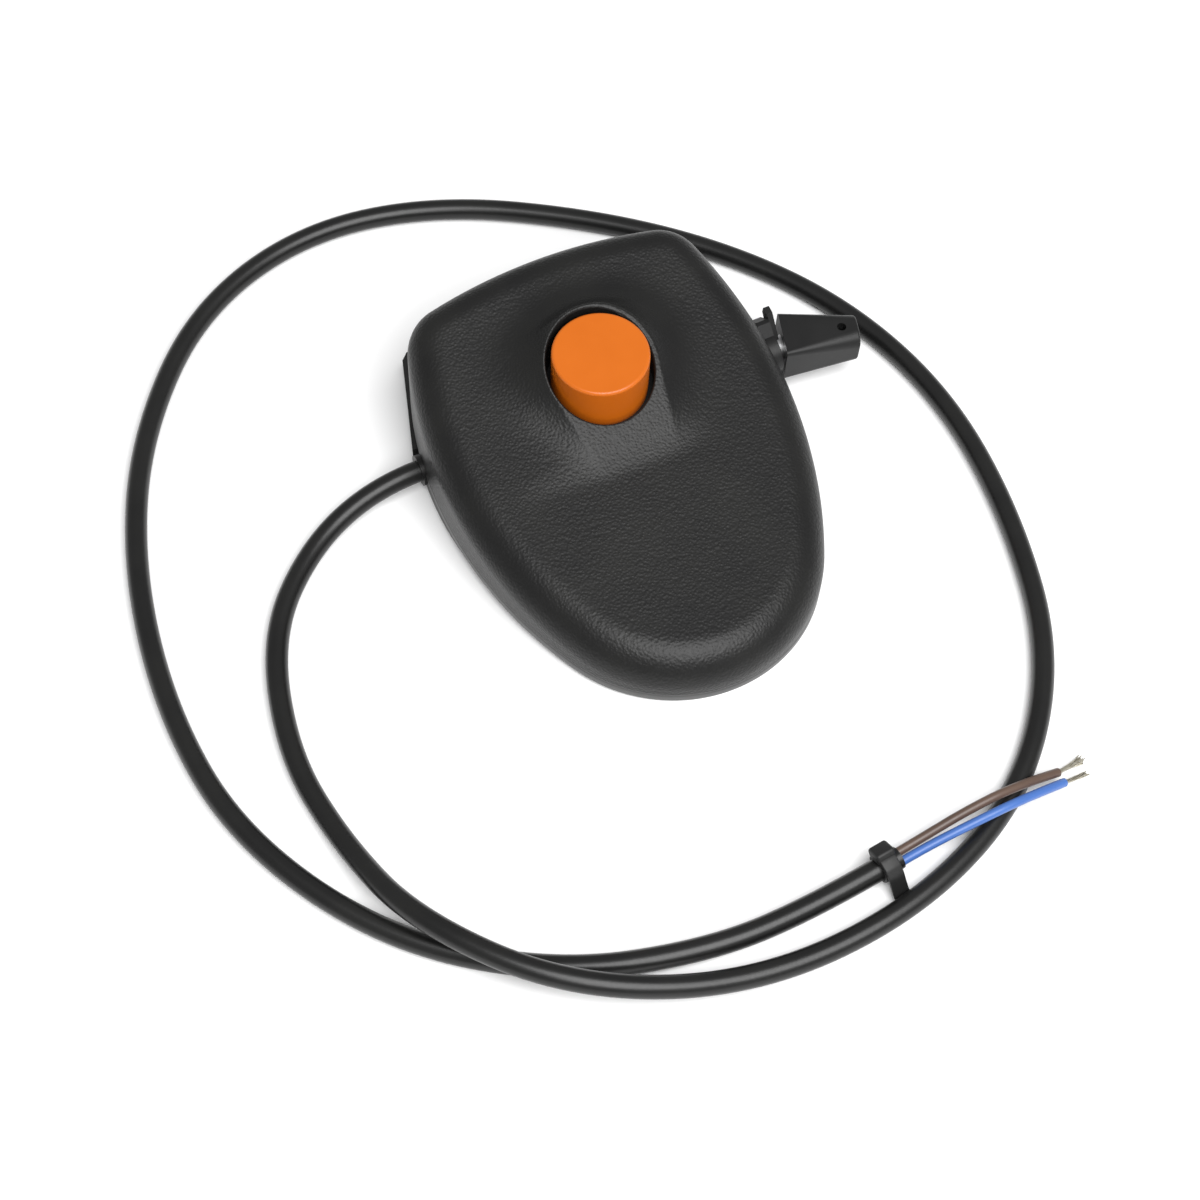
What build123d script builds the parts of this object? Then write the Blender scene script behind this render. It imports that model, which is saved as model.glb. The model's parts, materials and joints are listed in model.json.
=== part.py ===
from build123d import *
from math import atan2, cos, degrees, hypot, pi, radians, sin, sqrt, tan
import os

# A handle-mounted push-button switch box: a shield-shaped two-part housing with
# a sprung safety button on top, a bail-lever socket on its right side, a saddle
# for the handle tube underneath, and a free two-core lead with bare ends.
#
# The parts are drawn in the housing frame: X to the right, Y from the round tip
# to the wide back, Z square to the parting plane, origin on the tip's lower edge.
# place() then leans that frame back by TILT, so that the box stands on z = 0,
# and moves the middle of its footprint to the origin. All sizes are in mm.

# ---------------------------------------------------------------- driving sizes
TILT = 4.0                # parting plane against the resting surface, degrees
LENGTH = 139.0            # tip to back, on the centre line
TIP_RADIUS = 44.6
SIDE_RADIUS = 130.0
SIDE_ANGLE = 27.3         # where the tip arc becomes the side arc, degrees
BACK_RADIUS = 175.0
CORNER_RADIUS = 14.5
TIP_HEIGHT = 16.8         # sloping top plane above the parting plane at the tip
BACK_HEIGHT = 39.5        # and at the back
TOP_SAG = 3.1             # the top dips this far below the straight line between them
TOP_ROUND = 11.0          # rounding of the shoulder
WALL = 2.5                # cover
FLOOR = 2.2               # lower housing
RIM_HEIGHT = 4.0          # lip of the lower housing inside the cover
SEAM = 0.4                # side gap between lip and cover
EDGE_STEP = 0.3           # lower housing stands this far inside the cover's edge
BELLY_START = 68.0        # where the lower housing begins to deepen
BELLY_FLAT = 106.0        # from here on it lies on the resting surface

BUTTON_Y = 94.2
BUTTON_RADIUS = 14.25
BUTTON_TOP = 42.8
BUTTON_TRAVEL = 3.0
BUTTON_WALL = 2.0
BUTTON_SKIRT = 20.0       # lower edge of the button's skirt
FLANGE_RIM = 1.15         # flange beyond the button's side
FLANGE_HEIGHT = 1.4
WELL_GAP = 1.6            # dark ring between button and boss
STEM_RADIUS = 4.0
RUNNING = 0.05            # radial clearance of a sliding or turning fit
GAP = 0.35                # clearance between pieces that move past each other

BOSS_RADIUS = 18.3
BOSS_TOP = 44.0
BOSS_NOSE_Y = 66.0
BOSS_NOSE_HALF = 10.5
BOSS_DRAFT = 20.0         # flank slope, degrees
FACET_LOW = 28.6          # height of the front facet at the button's front edge
FACET_HIGH = 43.2         # and at its back edge
REAR_DROP = 4.0           # fall of the boss's rear slope, carried on to the housing's back
COLLAR_BOTTOM = 17.4
COLLAR_WALL = 2.2

STEM_GUIDE_TOP = 22.0
STEM_GUIDE_WALL = 4.0
BUTTON_SPRING_RADIUS = 6.8
BUTTON_SPRING_TURNS = 6

SWITCH_LENGTH = 20.0
SWITCH_WIDTH = 6.4
SWITCH_HEIGHT = 10.2
SWITCH_SCREW_RADIUS = 1.1
SWITCH_HOLE_PITCH = 9.5
SWITCH_HOLE_RISE = 2.6
PLUNGER_RADIUS = 1.1
TERMINAL_LENGTH = 6.5
TERMINAL_WIDTH = 3.2
TERMINAL_THICKNESS = 0.6
TERMINAL_PITCH = 5.0
RECEPTACLE_LENGTH = 7.0
RECEPTACLE_WIDTH = 4.6
RECEPTACLE_THICK = 2.6
RECEPTACLE_OVERHANG = 1.5 # beyond the blade's end
START_SWITCH_FLOOR = -1.9
START_SWITCH_Y = 94.2     # middle of its width, under the stem
ARM_PIVOT_INSET = 1.7     # arm pivot from the switch's end
ARM_PIVOT_RISE = 0.7
ARM_REACH = 15.0          # pivot to stem
ARM_THICKNESS = 0.4
ARM_WIDTH = 4.0
ARM_EYE_RADIUS = 0.5      # rolled eye at the arm's pivot
ARM_PRESSED = 1.0         # slope that is left when the button is down, degrees
PLUNGER_REACH = 5.0       # pivot to plunger
ARM_OVERHANG = 1.0        # beyond the stem's axis
PLUNGER_GAP = 0.5         # from the dome of the run plunger to the cam
CARRIER_WALL = 1.8
CARRIER_FOOT = 2.0        # underside of the carrier's feet
CARRIER_HALF = 25.0
CARRIER_SCREW_X = 20.0
CARRIER_SCREW_Y = 103.0

SHAFT_Y = 94.5
SHAFT_Z = 7.4
SHAFT_RADIUS = 4.0
SHAFT_INNER_X = 24.5
BEARING_X = (25.5, 28.0)
LEVER_SWING = 30.0        # degrees
CAM_RADIUS = 6.0
CAM_LIFT = 2.0            # over the lever's swing
CAM_WIDTH = 4.4
RUN_SWITCH_X = 37.0       # middle of the run switch, on the cam
SPRING_WIRE = 0.8
LEVER_SPRING_RADIUS = 5.4
LEVER_SPRING_X = (41.0, 45.8)
LEVER_SPRING_TURNS = 4
LEVER_SPRING_LEG = 7.5
CLIP_X = 47.4
CLIP_THICK = 0.8
CLIP_RADIUS = 6.2
BUSH_WALL = 1.5
BUSH_FLANGE = 1.6
BUSH_FLANGE_RADIUS = 7.4
BUSH_X = (48.6, 55.0)     # inner and outer face of the shaft bush
COLLAR_THICK = 4.2
COLLAR_OUTER = 6.6
LUG_WIDTH = 8.0
LUG_REACH = 10.6
LUG_ANGLE = 42.0          # above +Y, degrees
LUG_CHAMFER = 1.0
FIN_THICK = 1.8
FIN_WIDTH = 3.6
FIN_REACH = 14.0
FIN_ANGLE = 50.0
FIN_CHAMFER = 1.5

SOCKET_START = 62.0
SOCKET_LENGTH = 23.5
SOCKET_SLANT = 16.0       # towards the tip, degrees
SOCKET_SHIFT = 0.7        # middle of the socket's root behind the shaft's axis
SOCKET_ROOT = (15.6, 13.7)
SOCKET_END = (11.2, 12.8)
SOCKET_ROOT_ROUND = 1.2
SOCKET_END_ROUND = 4.2
LEVER_BORE_RADIUS = 2.6
LEVER_BORE_DEPTH = 16.0
PIN_HOLE_RADIUS = 1.4
PIN_HOLE_INSET = 5.2
SOCKET_HUB_DEPTH = 5.0    # shaft's seat inside the socket
DRIVE_PIN_RADIUS = 1.0
DRIVE_PIN_X = 64.6

TUBE_RADIUS = 11.0        # handle tube under the saddle
TUBE_DROP = 5.0           # tube axis below the resting surface
TUBE_Y = 128.6
SADDLE_HEIGHT = 7.6
SADDLE_FRONT = 111.3
SADDLE_BACK = 146.0
SADDLE_PROUD = 1.6        # beyond the housing's sides
SADDLE_BACK_HALF = 42.3
SADDLE_CHAMFER = 2.4
SADDLE_BEARING = 80.0     # length that touches the tube
SADDLE_RELIEF = 1.2
SADDLE_SCREW_X = 32.0
SADDLE_SCREW_Y = 115.0

SCREW_RADIUS = 1.5
SCREW_HEAD_RADIUS = 2.9
SCREW_HEAD_HEIGHT = 2.0
PILLAR_RADIUS = 3.9
COVER_SCREWS = ((0.0, 17.0), (-31.0, 57.0), (31.0, 57.0))
SCREW_BITE = 8.0
SEAT_HEIGHT = 4.4         # screw seats of the lower housing
SLOT_HALF = 0.35          # slotted small screws
SLOT_DEPTH = 0.7
CROSS_HALF = 0.4          # cross recess of the large screws
CROSS_REACH = 1.9
CROSS_DEPTH = 0.9
SMALL_SCREW_RADIUS = 1.2
SMALL_HEAD_RADIUS = 2.3
SMALL_HEAD_HEIGHT = 1.3

CORD_RADIUS = 3.25
CORE_RADIUS = 1.3
STRAND_RADIUS = 0.75
CORD_Y = 104.0
CORD_INNER_X = -38.0      # the jacket ends here inside the housing
CORD_FACE_X = -54.0       # outer face of the cord bush, start of the free lead
BUSH_RIM = 1.5
CORD_FLANGE_X = (-47.6, -46.4)
CORD_FLANGE_RIM = 1.0
CLAMP_X = (-44.6, -38.6)
CLAMP_HALF = 7.4
CLAMP_TOP = 5.8
CLAMP_BED = 2.0           # top of the cord's bed
CLAMP_SPLIT = 0.5         # gap between the clamp and its bed
CLAMP_SCREW_REACH = 5.4   # from the cord's axis
TIE_WIDTH = 4.8
TIE_THICK = 1.1
TIE_INSET = 2.0           # from the jacket's end
TIE_HEAD = (6.4, 4.2, 5.8)
TIE_HEAD_PLACE = (2.4, 4.4)
TIE_HEAD_TURN = -28.0
TIE_TAIL_START = (-3.2, 2.4)
TIE_TAIL_LENGTH = 8.0
TIE_TAIL_TURN = 226.0

# The lead's route: hand-chosen points in the placed frame, after the first,
# which is the cord bush. The second, level with it, makes a straight start.
ROUTE = (
    (-108.0, 22.4, 3.25), (-130.0, -1.0, 3.25), (-140.0, -39.0, 3.25),
    (-137.0, -71.0, 3.25), (-129.0, -106.0, 16.0), (-100.0, -141.0, 16.0),
    (-54.0, -157.0, 3.25), (-4.0, -156.0, 3.25), (39.0, -138.0, 3.25),
    (69.0, -103.0, 3.25), (83.0, -57.0, 3.25), (87.0, -11.0, 3.25),
    (77.0, 31.0, 3.25), (55.0, 67.0, 3.25), (22.0, 99.0, 3.25),
    (-22.0, 127.0, 3.25), (-66.0, 135.0, 3.25), (-108.0, 119.0, 3.25),
    (-140.0, 81.0, 3.25), (-158.0, 38.0, 3.25), (-166.0, -11.0, 3.25),
    (-162.0, -57.0, 3.25), (-138.0, -102.0, 3.25), (-101.0, -131.0, 3.25),
    (-61.0, -143.0, 3.25), (-28.0, -144.0, 4.2), (-2.5, -141.4, 5.4),
)
CORE_START = 8.0          # the cores first follow the jacket's direction this far
BROWN_ROUTE = ((20.0, -138.6, 9.6), (36.0, -137.8, 9.5), (51.0, -136.6, 2.9))
BLUE_ROUTE = ((20.0, -142.6, 9.4), (36.5, -142.0, 9.3), (51.0, -140.0, 2.7))
STRAND_START = 2.0        # and the strands the core's, before they turn
BROWN_STRANDS_END = (60.5, -135.1, 1.1)
BLUE_STRANDS_END = (59.5, -139.6, 1.0)
FOOTPRINT_MIDDLE = (16.0, 73.0)   # of the box without its lead, before it is centred

# ---------------------------------------------------------------- derived places
TOP_SLOPE = (BACK_HEIGHT - TIP_HEIGHT) / LENGTH
LEAN = tan(radians(TILT))
WELL_RADIUS = BUTTON_RADIUS + WELL_GAP
FLANGE_RADIUS = BUTTON_RADIUS + FLANGE_RIM
FLANGE_BOTTOM = BUTTON_SKIRT - FLANGE_HEIGHT
GUIDE_TOP = FACET_LOW - 2.1
BRIDGE_TOP = FLANGE_BOTTOM - BUTTON_TRAVEL - GAP
BRIDGE_BOTTOM = BRIDGE_TOP - CARRIER_WALL
BUTTON_ROOF = BUTTON_TOP - BUTTON_WALL
SIDE_CENTRE = (-(SIDE_RADIUS - TIP_RADIUS) * cos(radians(SIDE_ANGLE)),
               TIP_RADIUS + (SIDE_RADIUS - TIP_RADIUS) * sin(radians(SIDE_ANGLE)))
BACK_CENTRE = (0.0, LENGTH - BACK_RADIUS)
START_SWITCH_TOP = START_SWITCH_FLOOR + SWITCH_HEIGHT
ARM_PIVOT = (-ARM_REACH, START_SWITCH_TOP + ARM_PIVOT_RISE)
START_SWITCH_END = -ARM_REACH - ARM_PIVOT_INSET
ARM_SWING = degrees(BUTTON_TRAVEL / ARM_REACH)
ARM_TIP_RISE = (ARM_REACH + ARM_OVERHANG) * sin(radians(ARM_PRESSED + ARM_SWING))
STEM_BOTTOM = ARM_PIVOT[1] + ARM_TIP_RISE + ARM_THICKNESS + GAP
START_PLUNGER_TRAVEL = BUTTON_TRAVEL * PLUNGER_REACH / ARM_REACH
RUN_FACE_Y = SHAFT_Y - CAM_RADIUS - PLUNGER_GAP - CAM_LIFT - 0.6
RUN_SWITCH_END = RUN_SWITCH_X - SWITCH_LENGTH / 2
RUN_SWITCH_FLOOR = SHAFT_Z - SWITCH_WIDTH / 2
CARRIER_WALL_Y = START_SWITCH_Y + SWITCH_WIDTH / 2
COLLAR_X = BUSH_X[1] + GAP
SHAFT_OUTER_X = SOCKET_START + SOCKET_HUB_DEPTH
BUSH_RADIUS = SHAFT_RADIUS + RUNNING + BUSH_WALL
CORD_BUSH_RADIUS = CORD_RADIUS + BUSH_RIM
BLADE_HEIGHTS = (START_SWITCH_FLOOR + 2.4, START_SWITCH_FLOOR + 2.4 + TERMINAL_PITCH)
START_LEAD_X = START_SWITCH_END - TERMINAL_LENGTH - RECEPTACLE_OVERHANG
RUN_LEAD_X = RUN_SWITCH_END - TERMINAL_LENGTH - RECEPTACLE_OVERHANG
CORD_FLANGE_RADIUS = CORD_BUSH_RADIUS + CORD_FLANGE_RIM
BLADE_PLACES = (RUN_FACE_Y - 7.6, RUN_FACE_Y - 7.6 + TERMINAL_PITCH)


def corner_centre():
    """Centre of the back corner arc, inside both the side arc and the back arc."""
    side_reach = SIDE_RADIUS - CORNER_RADIUS
    back_reach = BACK_RADIUS - CORNER_RADIUS
    dx = BACK_CENTRE[0] - SIDE_CENTRE[0]
    dy = BACK_CENTRE[1] - SIDE_CENTRE[1]
    span = hypot(dx, dy)
    along = (side_reach ** 2 - back_reach ** 2 + span ** 2) / (2 * span)
    off = sqrt(side_reach ** 2 - along ** 2)
    return (SIDE_CENTRE[0] + (along * dx - off * dy) / span,
            SIDE_CENTRE[1] + (along * dy + off * dx) / span)


def side_x(y):
    """Half width of the cover's outline at a distance y from the tip."""
    return SIDE_CENTRE[0] + sqrt(SIDE_RADIUS ** 2 - (y - SIDE_CENTRE[1]) ** 2)


def shield(inset=0.0):
    """Plan outline of the housing, moved inwards by inset."""
    corner = corner_centre()
    side_end = degrees(atan2(corner[1] - SIDE_CENTRE[1], corner[0] - SIDE_CENTRE[0]))
    corner_end = degrees(atan2(corner[1] - BACK_CENTRE[1], corner[0] - BACK_CENTRE[0]))
    side_sweep = side_end + SIDE_ANGLE
    corner_sweep = corner_end - side_end
    arcs = [
        CenterArc((0, TIP_RADIUS), TIP_RADIUS - inset, 180 + SIDE_ANGLE, 180 - 2 * SIDE_ANGLE),
        CenterArc(SIDE_CENTRE, SIDE_RADIUS - inset, -SIDE_ANGLE, side_sweep),
        CenterArc(corner, CORNER_RADIUS - inset, side_end, corner_sweep),
        CenterArc(BACK_CENTRE, BACK_RADIUS - inset, corner_end, 180 - 2 * corner_end),
        CenterArc((-corner[0], corner[1]), CORNER_RADIUS - inset, 180 - corner_end, corner_sweep),
        CenterArc((-SIDE_CENTRE[0], SIDE_CENTRE[1]), SIDE_RADIUS - inset, 180 - side_end, side_sweep),
    ]
    return make_face(arcs)


def prism(inset, low, high):
    """The plan outline as a block between two heights."""
    return Pos(0, 0, low) * extrude(shield(inset), high - low)


def slab(profile, half_width=200.0):
    """A side profile, given as (y, z) points, drawn out to both sides in X."""
    face = make_face(Plane.YZ * Polyline(*profile, close=True))
    return extrude(face, half_width, both=True)


def box(x_span, y_span, z_span):
    """A block between two corners, given as three spans."""
    spans = (x_span, y_span, z_span)
    middle = [(low + high) / 2 for low, high in spans]
    return Pos(*middle) * Box(*[high - low for low, high in spans])


def post(x, y, radius, low, high):
    """An upright cylinder between two heights."""
    return Pos(x, y, (low + high) / 2) * Cylinder(radius, high - low)


def bar_x(y, z, radius, start, end):
    """A cylinder along X between two places."""
    return Pos((start + end) / 2, y, z) * Rot(Y=90) * Cylinder(radius, end - start)


def bar_y(x, z, radius, start, end):
    """A cylinder along Y between two places."""
    return Pos(x, (start + end) / 2, z) * Rot(X=90) * Cylinder(radius, end - start)


def place(part):
    """Lean the housing frame back onto the resting surface and centre it."""
    return Pos(-FOOTPRINT_MIDDLE[0], -FOOTPRINT_MIDDLE[1], 0) * Rot(X=TILT) * part


def level(part):
    """Bring a part drawn level with the resting surface into the housing frame."""
    return Rot(X=-TILT) * part


def saddle_roof(y):
    """Height of the saddle's flat top in the housing frame."""
    return SADDLE_HEIGHT / cos(radians(TILT)) - y * LEAN


# ---------------------------------------------------------------- housing
def top_height(y):
    """Height of the cover's slightly hollow top on its middle line."""
    share = y / LENGTH
    return TIP_HEIGHT + TOP_SLOPE * y - 4 * TOP_SAG * share * (1 - share)


def shaped_block(inset):
    """The cover's solid outer form, or its cavity when inset is the wall."""
    ends = (-10.0, LENGTH + 10.0)
    first, middle, last = [(y, top_height(y) - inset) for y in (ends[0], LENGTH / 2, ends[1])]
    sides = Polyline(last, (ends[1], -1), (ends[0], -1), first)
    below = extrude(make_face(Plane.YZ * (ThreePointArc(first, middle, last) + sides)), LENGTH, both=True)
    block = prism(inset, 0, BACK_HEIGHT + 5) & below
    shoulder = block.faces().sort_by(Axis.Z)[-1].edges()
    return fillet(shoulder, TOP_ROUND - inset)


def nose_outline(spread, height):
    """Plan outline of the boss: round behind the button, narrowing to a blunt nose."""
    radius = BOSS_RADIUS + spread
    nose_half = BOSS_NOSE_HALF + spread
    nose_y = BOSS_NOSE_Y - spread
    reach = hypot(nose_half, BUTTON_Y - nose_y)
    bearing = atan2(nose_y - BUTTON_Y, nose_half) + pi / 2 - atan2(radius, sqrt(reach ** 2 - radius ** 2))
    tangent = (radius * cos(bearing), BUTTON_Y + radius * sin(bearing))
    turn = degrees(bearing)
    arc = CenterArc((0, BUTTON_Y), radius, turn, 180 - 2 * turn)
    sides = Polyline((-tangent[0], tangent[1]), (-nose_half, nose_y), (nose_half, nose_y), tangent)
    return Pos(0, 0, height) * make_face([arc, sides])


def above_facet():
    """Everything above the boss's slanting front facet and its rear slope."""
    front = BUTTON_Y - WELL_RADIUS
    pitch = (FACET_HIGH - FACET_LOW) / (2 * WELL_RADIUS)
    far_front = front - LENGTH / 2
    crest = BUTTON_Y + WELL_RADIUS + COLLAR_WALL / 2
    facet = [(y, FACET_LOW + pitch * (y - front)) for y in (far_front, crest)]
    high = BOSS_TOP * 2
    return slab(facet + [(LENGTH, FACET_HIGH - REAR_DROP), (LENGTH, high), (far_front, high)])


def boss():
    """Raised boss round the button with its slanting front facet."""
    spread = (BOSS_TOP - TIP_HEIGHT) * tan(radians(BOSS_DRAFT))
    body = loft([nose_outline(spread, TIP_HEIGHT), nose_outline(0, BOSS_TOP)], ruled=True)
    return body - above_facet()


def saddle_screw_places():
    return [(-SADDLE_SCREW_X, SADDLE_SCREW_Y), (SADDLE_SCREW_X, SADDLE_SCREW_Y)]


def upper_cover():
    """Moulded cover: shell, boss, button collar and screw pillars."""
    outer = shaped_block(0) + boss()
    cover = outer - shaped_block(WALL)
    collar = post(0, BUTTON_Y, WELL_RADIUS + COLLAR_WALL, COLLAR_BOTTOM, BOSS_TOP)
    cover += collar & outer
    rear_foot = saddle_roof(SADDLE_SCREW_Y) + FLOOR
    feet = [(x, y, SEAT_HEIGHT) for x, y in COVER_SCREWS]
    feet += [(x, y, rear_foot) for x, y in saddle_screw_places()]
    for x, y, foot in feet:
        cover += post(x, y, PILLAR_RADIUS, foot + SEAM, BACK_HEIGHT) & outer
        cover -= post(x, y, SCREW_RADIUS, 0, foot + SCREW_BITE)
    cover -= post(0, BUTTON_Y, WELL_RADIUS, COLLAR_BOTTOM - 1, BOSS_TOP + 5)
    cover -= bar_x(SHAFT_Y, SHAFT_Z, BUSH_RADIUS, BUSH_X[0] - 4, BUSH_X[1] + 10)
    cover -= bar_x(CORD_Y, 0, CORD_BUSH_RADIUS, CORD_FACE_X - 10, CORD_INNER_X)
    return cover


def underside(y):
    """Height of the lower housing's underside: flush, then deepening, then on the surface."""
    if y < BELLY_START:
        return 0.0
    if y > BELLY_FLAT:
        return -y * LEAN
    return -BELLY_FLAT * LEAN * (y - BELLY_START) / (BELLY_FLAT - BELLY_START)


def under_profile():
    """Side profile of all that lies between the underside and the parting plane."""
    stations = (-10.0, BELLY_START, BELLY_FLAT, LENGTH + 10.0)
    return [(y, underside(y)) for y in stations] + [(LENGTH + 10, 0), (-10, 0)]


def inside_profile():
    """Side profile of the lower housing's inside, with the step over the saddle."""
    step = SADDLE_FRONT - FLOOR
    end = LENGTH + 10
    floor = [(y, underside(y) + FLOOR) for y in (-10.0, BELLY_START, BELLY_FLAT, step)]
    roof = [(y, saddle_roof(y) + FLOOR) for y in (step, end)]
    return floor + roof + [(end, BACK_HEIGHT), (-10, BACK_HEIGHT)]


def lower_housing():
    """Tray with a belly that lies on the surface and a pocket for the saddle."""
    lip = WALL + SEAM
    depth = underside(LENGTH + 10)
    tray = prism(EDGE_STEP, depth, 0) & slab(under_profile())
    tray += prism(lip, 0, RIM_HEIGHT)
    inside = prism(lip + FLOOR, depth, BACK_HEIGHT) & slab(inside_profile())
    tray -= inside
    tray += inside & tray_fittings()
    saddle_front = SADDLE_FRONT - SEAM / 2
    tray -= level(box((-90, 90), (saddle_front, LENGTH + 20), (-5, SADDLE_HEIGHT)))
    for x, y in COVER_SCREWS:
        tray -= post(x, y, SCREW_RADIUS + 0.2, -1, SEAT_HEIGHT + 1)
        tray -= post(x, y, SCREW_HEAD_RADIUS + 0.2, -1, SCREW_HEAD_HEIGHT + 0.2)
    for x, y in saddle_screw_places():
        tray -= post(x, y, SCREW_RADIUS + 0.2, depth, RIM_HEIGHT)
    for x, y, radius, foot in small_screw_holes():
        tray -= post(x, y, radius, small_screw_tip(y) - 0.4, foot)
    tray -= bar_x(CORD_Y, 0, CORD_BUSH_RADIUS, CORD_FACE_X - 10, CORD_FLANGE_X[1])
    tray -= bar_x(CORD_Y, 0, CORD_FLANGE_RADIUS + 0.1, CORD_FLANGE_X[0] - 0.1, CORD_FLANGE_X[1] + 0.1)
    tray -= bar_x(CORD_Y, 0, CORD_RADIUS, CORD_FLANGE_X[1], CORD_INNER_X)
    tray -= bar_x(SHAFT_Y, SHAFT_Z, BUSH_FLANGE_RADIUS + GAP, CLIP_X - 1, BUSH_X[0] + BUSH_FLANGE + 0.3)
    tray -= bar_x(SHAFT_Y, SHAFT_Z, BUSH_RADIUS, BUSH_X[0], BUSH_X[1] + 5)
    return tray


def small_screw_tip(y):
    """Height at which the small screws of the tray end, inside its floor."""
    return underside(y) + 1.6


def small_screw_holes():
    """Blind screw holes in the tray: place, radius and the height they start from."""
    holes = [(side * CARRIER_SCREW_X, CARRIER_SCREW_Y, SMALL_SCREW_RADIUS, CARRIER_FOOT)
             for side in (-1, 1)]
    holes += [(x, y, SMALL_SCREW_RADIUS, SEAT_HEIGHT) for x, y in clamp_screw_places()]
    holes += [(x, y, SWITCH_SCREW_RADIUS, RUN_SWITCH_FLOOR) for x, y in run_switch_holes()]
    return holes


def tray_fittings():
    """Studs, the cord's bed and the run switch's bed, all standing on the floor."""
    depth = underside(LENGTH + 10)
    studs = [post(x, y, SCREW_HEAD_RADIUS + 1.6, depth, SEAT_HEIGHT) for x, y in COVER_SCREWS]
    studs += [post(side * CARRIER_SCREW_X, CARRIER_SCREW_Y, 3.4, depth, CARRIER_FOOT) for side in (-1, 1)]
    cord_bed = box(CLAMP_X, (CORD_Y - CLAMP_HALF, CORD_Y + CLAMP_HALF), (depth, CLAMP_BED))
    run_bed = box((RUN_SWITCH_END + 1, RUN_SWITCH_END + SWITCH_LENGTH - 1),
                  (RUN_FACE_Y - SWITCH_HEIGHT + 0.5, RUN_FACE_Y - 0.5), (depth, RUN_SWITCH_FLOOR))
    fittings = cord_bed + run_bed
    for stud in studs:
        fittings += stud
    return fittings


# ---------------------------------------------------------------- tube saddle
def saddle_outline():
    """Plan outline of the saddle: it follows the housing's sides and stands proud."""
    front_half = side_x(SADDLE_FRONT) + SADDLE_PROUD
    knee_y = LENGTH - 3
    knee_half = side_x(knee_y) + SADDLE_PROUD
    right = [(front_half, SADDLE_FRONT), (knee_half, knee_y),
             (SADDLE_BACK_HALF, SADDLE_BACK - SADDLE_CHAMFER),
             (SADDLE_BACK_HALF - SADDLE_CHAMFER, SADDLE_BACK)]
    left = [(-x, y) for x, y in reversed(right)]
    return right + left


def tube_saddle():
    """Cradle for the handle tube, relieved towards its ends."""
    block = extrude(make_face(Polyline(*saddle_outline(), close=True)), SADDLE_HEIGHT)
    half = SADDLE_BEARING / 2
    block -= bar_x(TUBE_Y, -TUBE_DROP, TUBE_RADIUS, -half, half)
    for side in (-1, 1):
        ends = sorted((side * half, side * (half + 30)))
        block -= bar_x(TUBE_Y, -TUBE_DROP, TUBE_RADIUS + SADDLE_RELIEF, *ends)
    saddle = level(block)
    for x, y in saddle_screw_places():
        saddle -= post(x, y, SCREW_RADIUS + 0.2, -20, RIM_HEIGHT)
        saddle -= post(x, y, SCREW_HEAD_RADIUS + 0.3, -20, saddle_screw_seat())
    return saddle


def saddle_screw_seat():
    """Height of the saddle's counterbore floors, clear above the resting surface."""
    return -SADDLE_SCREW_Y * LEAN + SCREW_HEAD_HEIGHT + 0.9


def screw(x, y, seat, tip, radius, head_radius, head_height, head_above=False):
    """One screw: shank between seat and tip, head below the seat or above it."""
    if head_above:
        head = post(x, y, head_radius, seat, seat + head_height)
        slot = box((x - head_radius, x + head_radius), (y - SLOT_HALF, y + SLOT_HALF),
                   (seat + head_height - SLOT_DEPTH, seat + head_height + 1))
        return post(x, y, radius, tip, seat) + (head - slot)
    head = post(x, y, head_radius, seat - head_height, seat)
    depth = (seat - head_height - 1, seat - head_height + CROSS_DEPTH)
    slot = box((x - CROSS_HALF, x + CROSS_HALF), (y - CROSS_REACH, y + CROSS_REACH), depth)
    slot += box((x - CROSS_REACH, x + CROSS_REACH), (y - CROSS_HALF, y + CROSS_HALF), depth)
    return post(x, y, radius, seat, tip) + (head - slot)


def cover_screws():
    tip = SEAT_HEIGHT + SCREW_BITE - 1
    seat = SCREW_HEAD_HEIGHT + 0.2
    head = (SCREW_HEAD_RADIUS, SCREW_HEAD_HEIGHT)
    return [screw(x, y, seat, tip, SCREW_RADIUS, *head) for x, y in COVER_SCREWS]


def saddle_screws():
    tip = saddle_roof(SADDLE_SCREW_Y) + FLOOR + SCREW_BITE - 1
    seat = saddle_screw_seat()
    return [screw(x, y, seat, tip, SCREW_RADIUS, SCREW_HEAD_RADIUS, SCREW_HEAD_HEIGHT)
            for x, y in saddle_screw_places()]


# ---------------------------------------------------------------- push button
def push_button():
    """Button cap with its retaining flange and central stem, in one moulding."""
    cap = post(0, BUTTON_Y, BUTTON_RADIUS, BUTTON_SKIRT, BUTTON_TOP)
    cap = fillet(cap.faces().sort_by(Axis.Z)[-1].edges(), 1.0)
    cap += post(0, BUTTON_Y, FLANGE_RADIUS, FLANGE_BOTTOM, BUTTON_SKIRT)
    cap -= post(0, BUTTON_Y, BUTTON_RADIUS - BUTTON_WALL, FLANGE_BOTTOM - 1, BUTTON_ROOF)
    return cap + post(0, BUTTON_Y, STEM_RADIUS, STEM_BOTTOM, BUTTON_ROOF)


def button_guide():
    """Guide ring pressed into the boss, which also stops the flange."""
    low = BUTTON_SKIRT + GAP
    return (post(0, BUTTON_Y, WELL_RADIUS, low, GUIDE_TOP)
            - post(0, BUTTON_Y, BUTTON_RADIUS + RUNNING, low - 1, GUIDE_TOP + 1))


def coil(radius, wire, turns, height):
    """Helical spring with its axis along Z, starting at z = 0."""
    rise = height - 2 * wire
    path = Pos(0, 0, wire) * Helix(rise / turns, rise, radius)
    section = Plane(path @ 0, z_dir=path % 0) * Circle(wire)
    return sweep(section, path=path, is_frenet=True)


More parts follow.
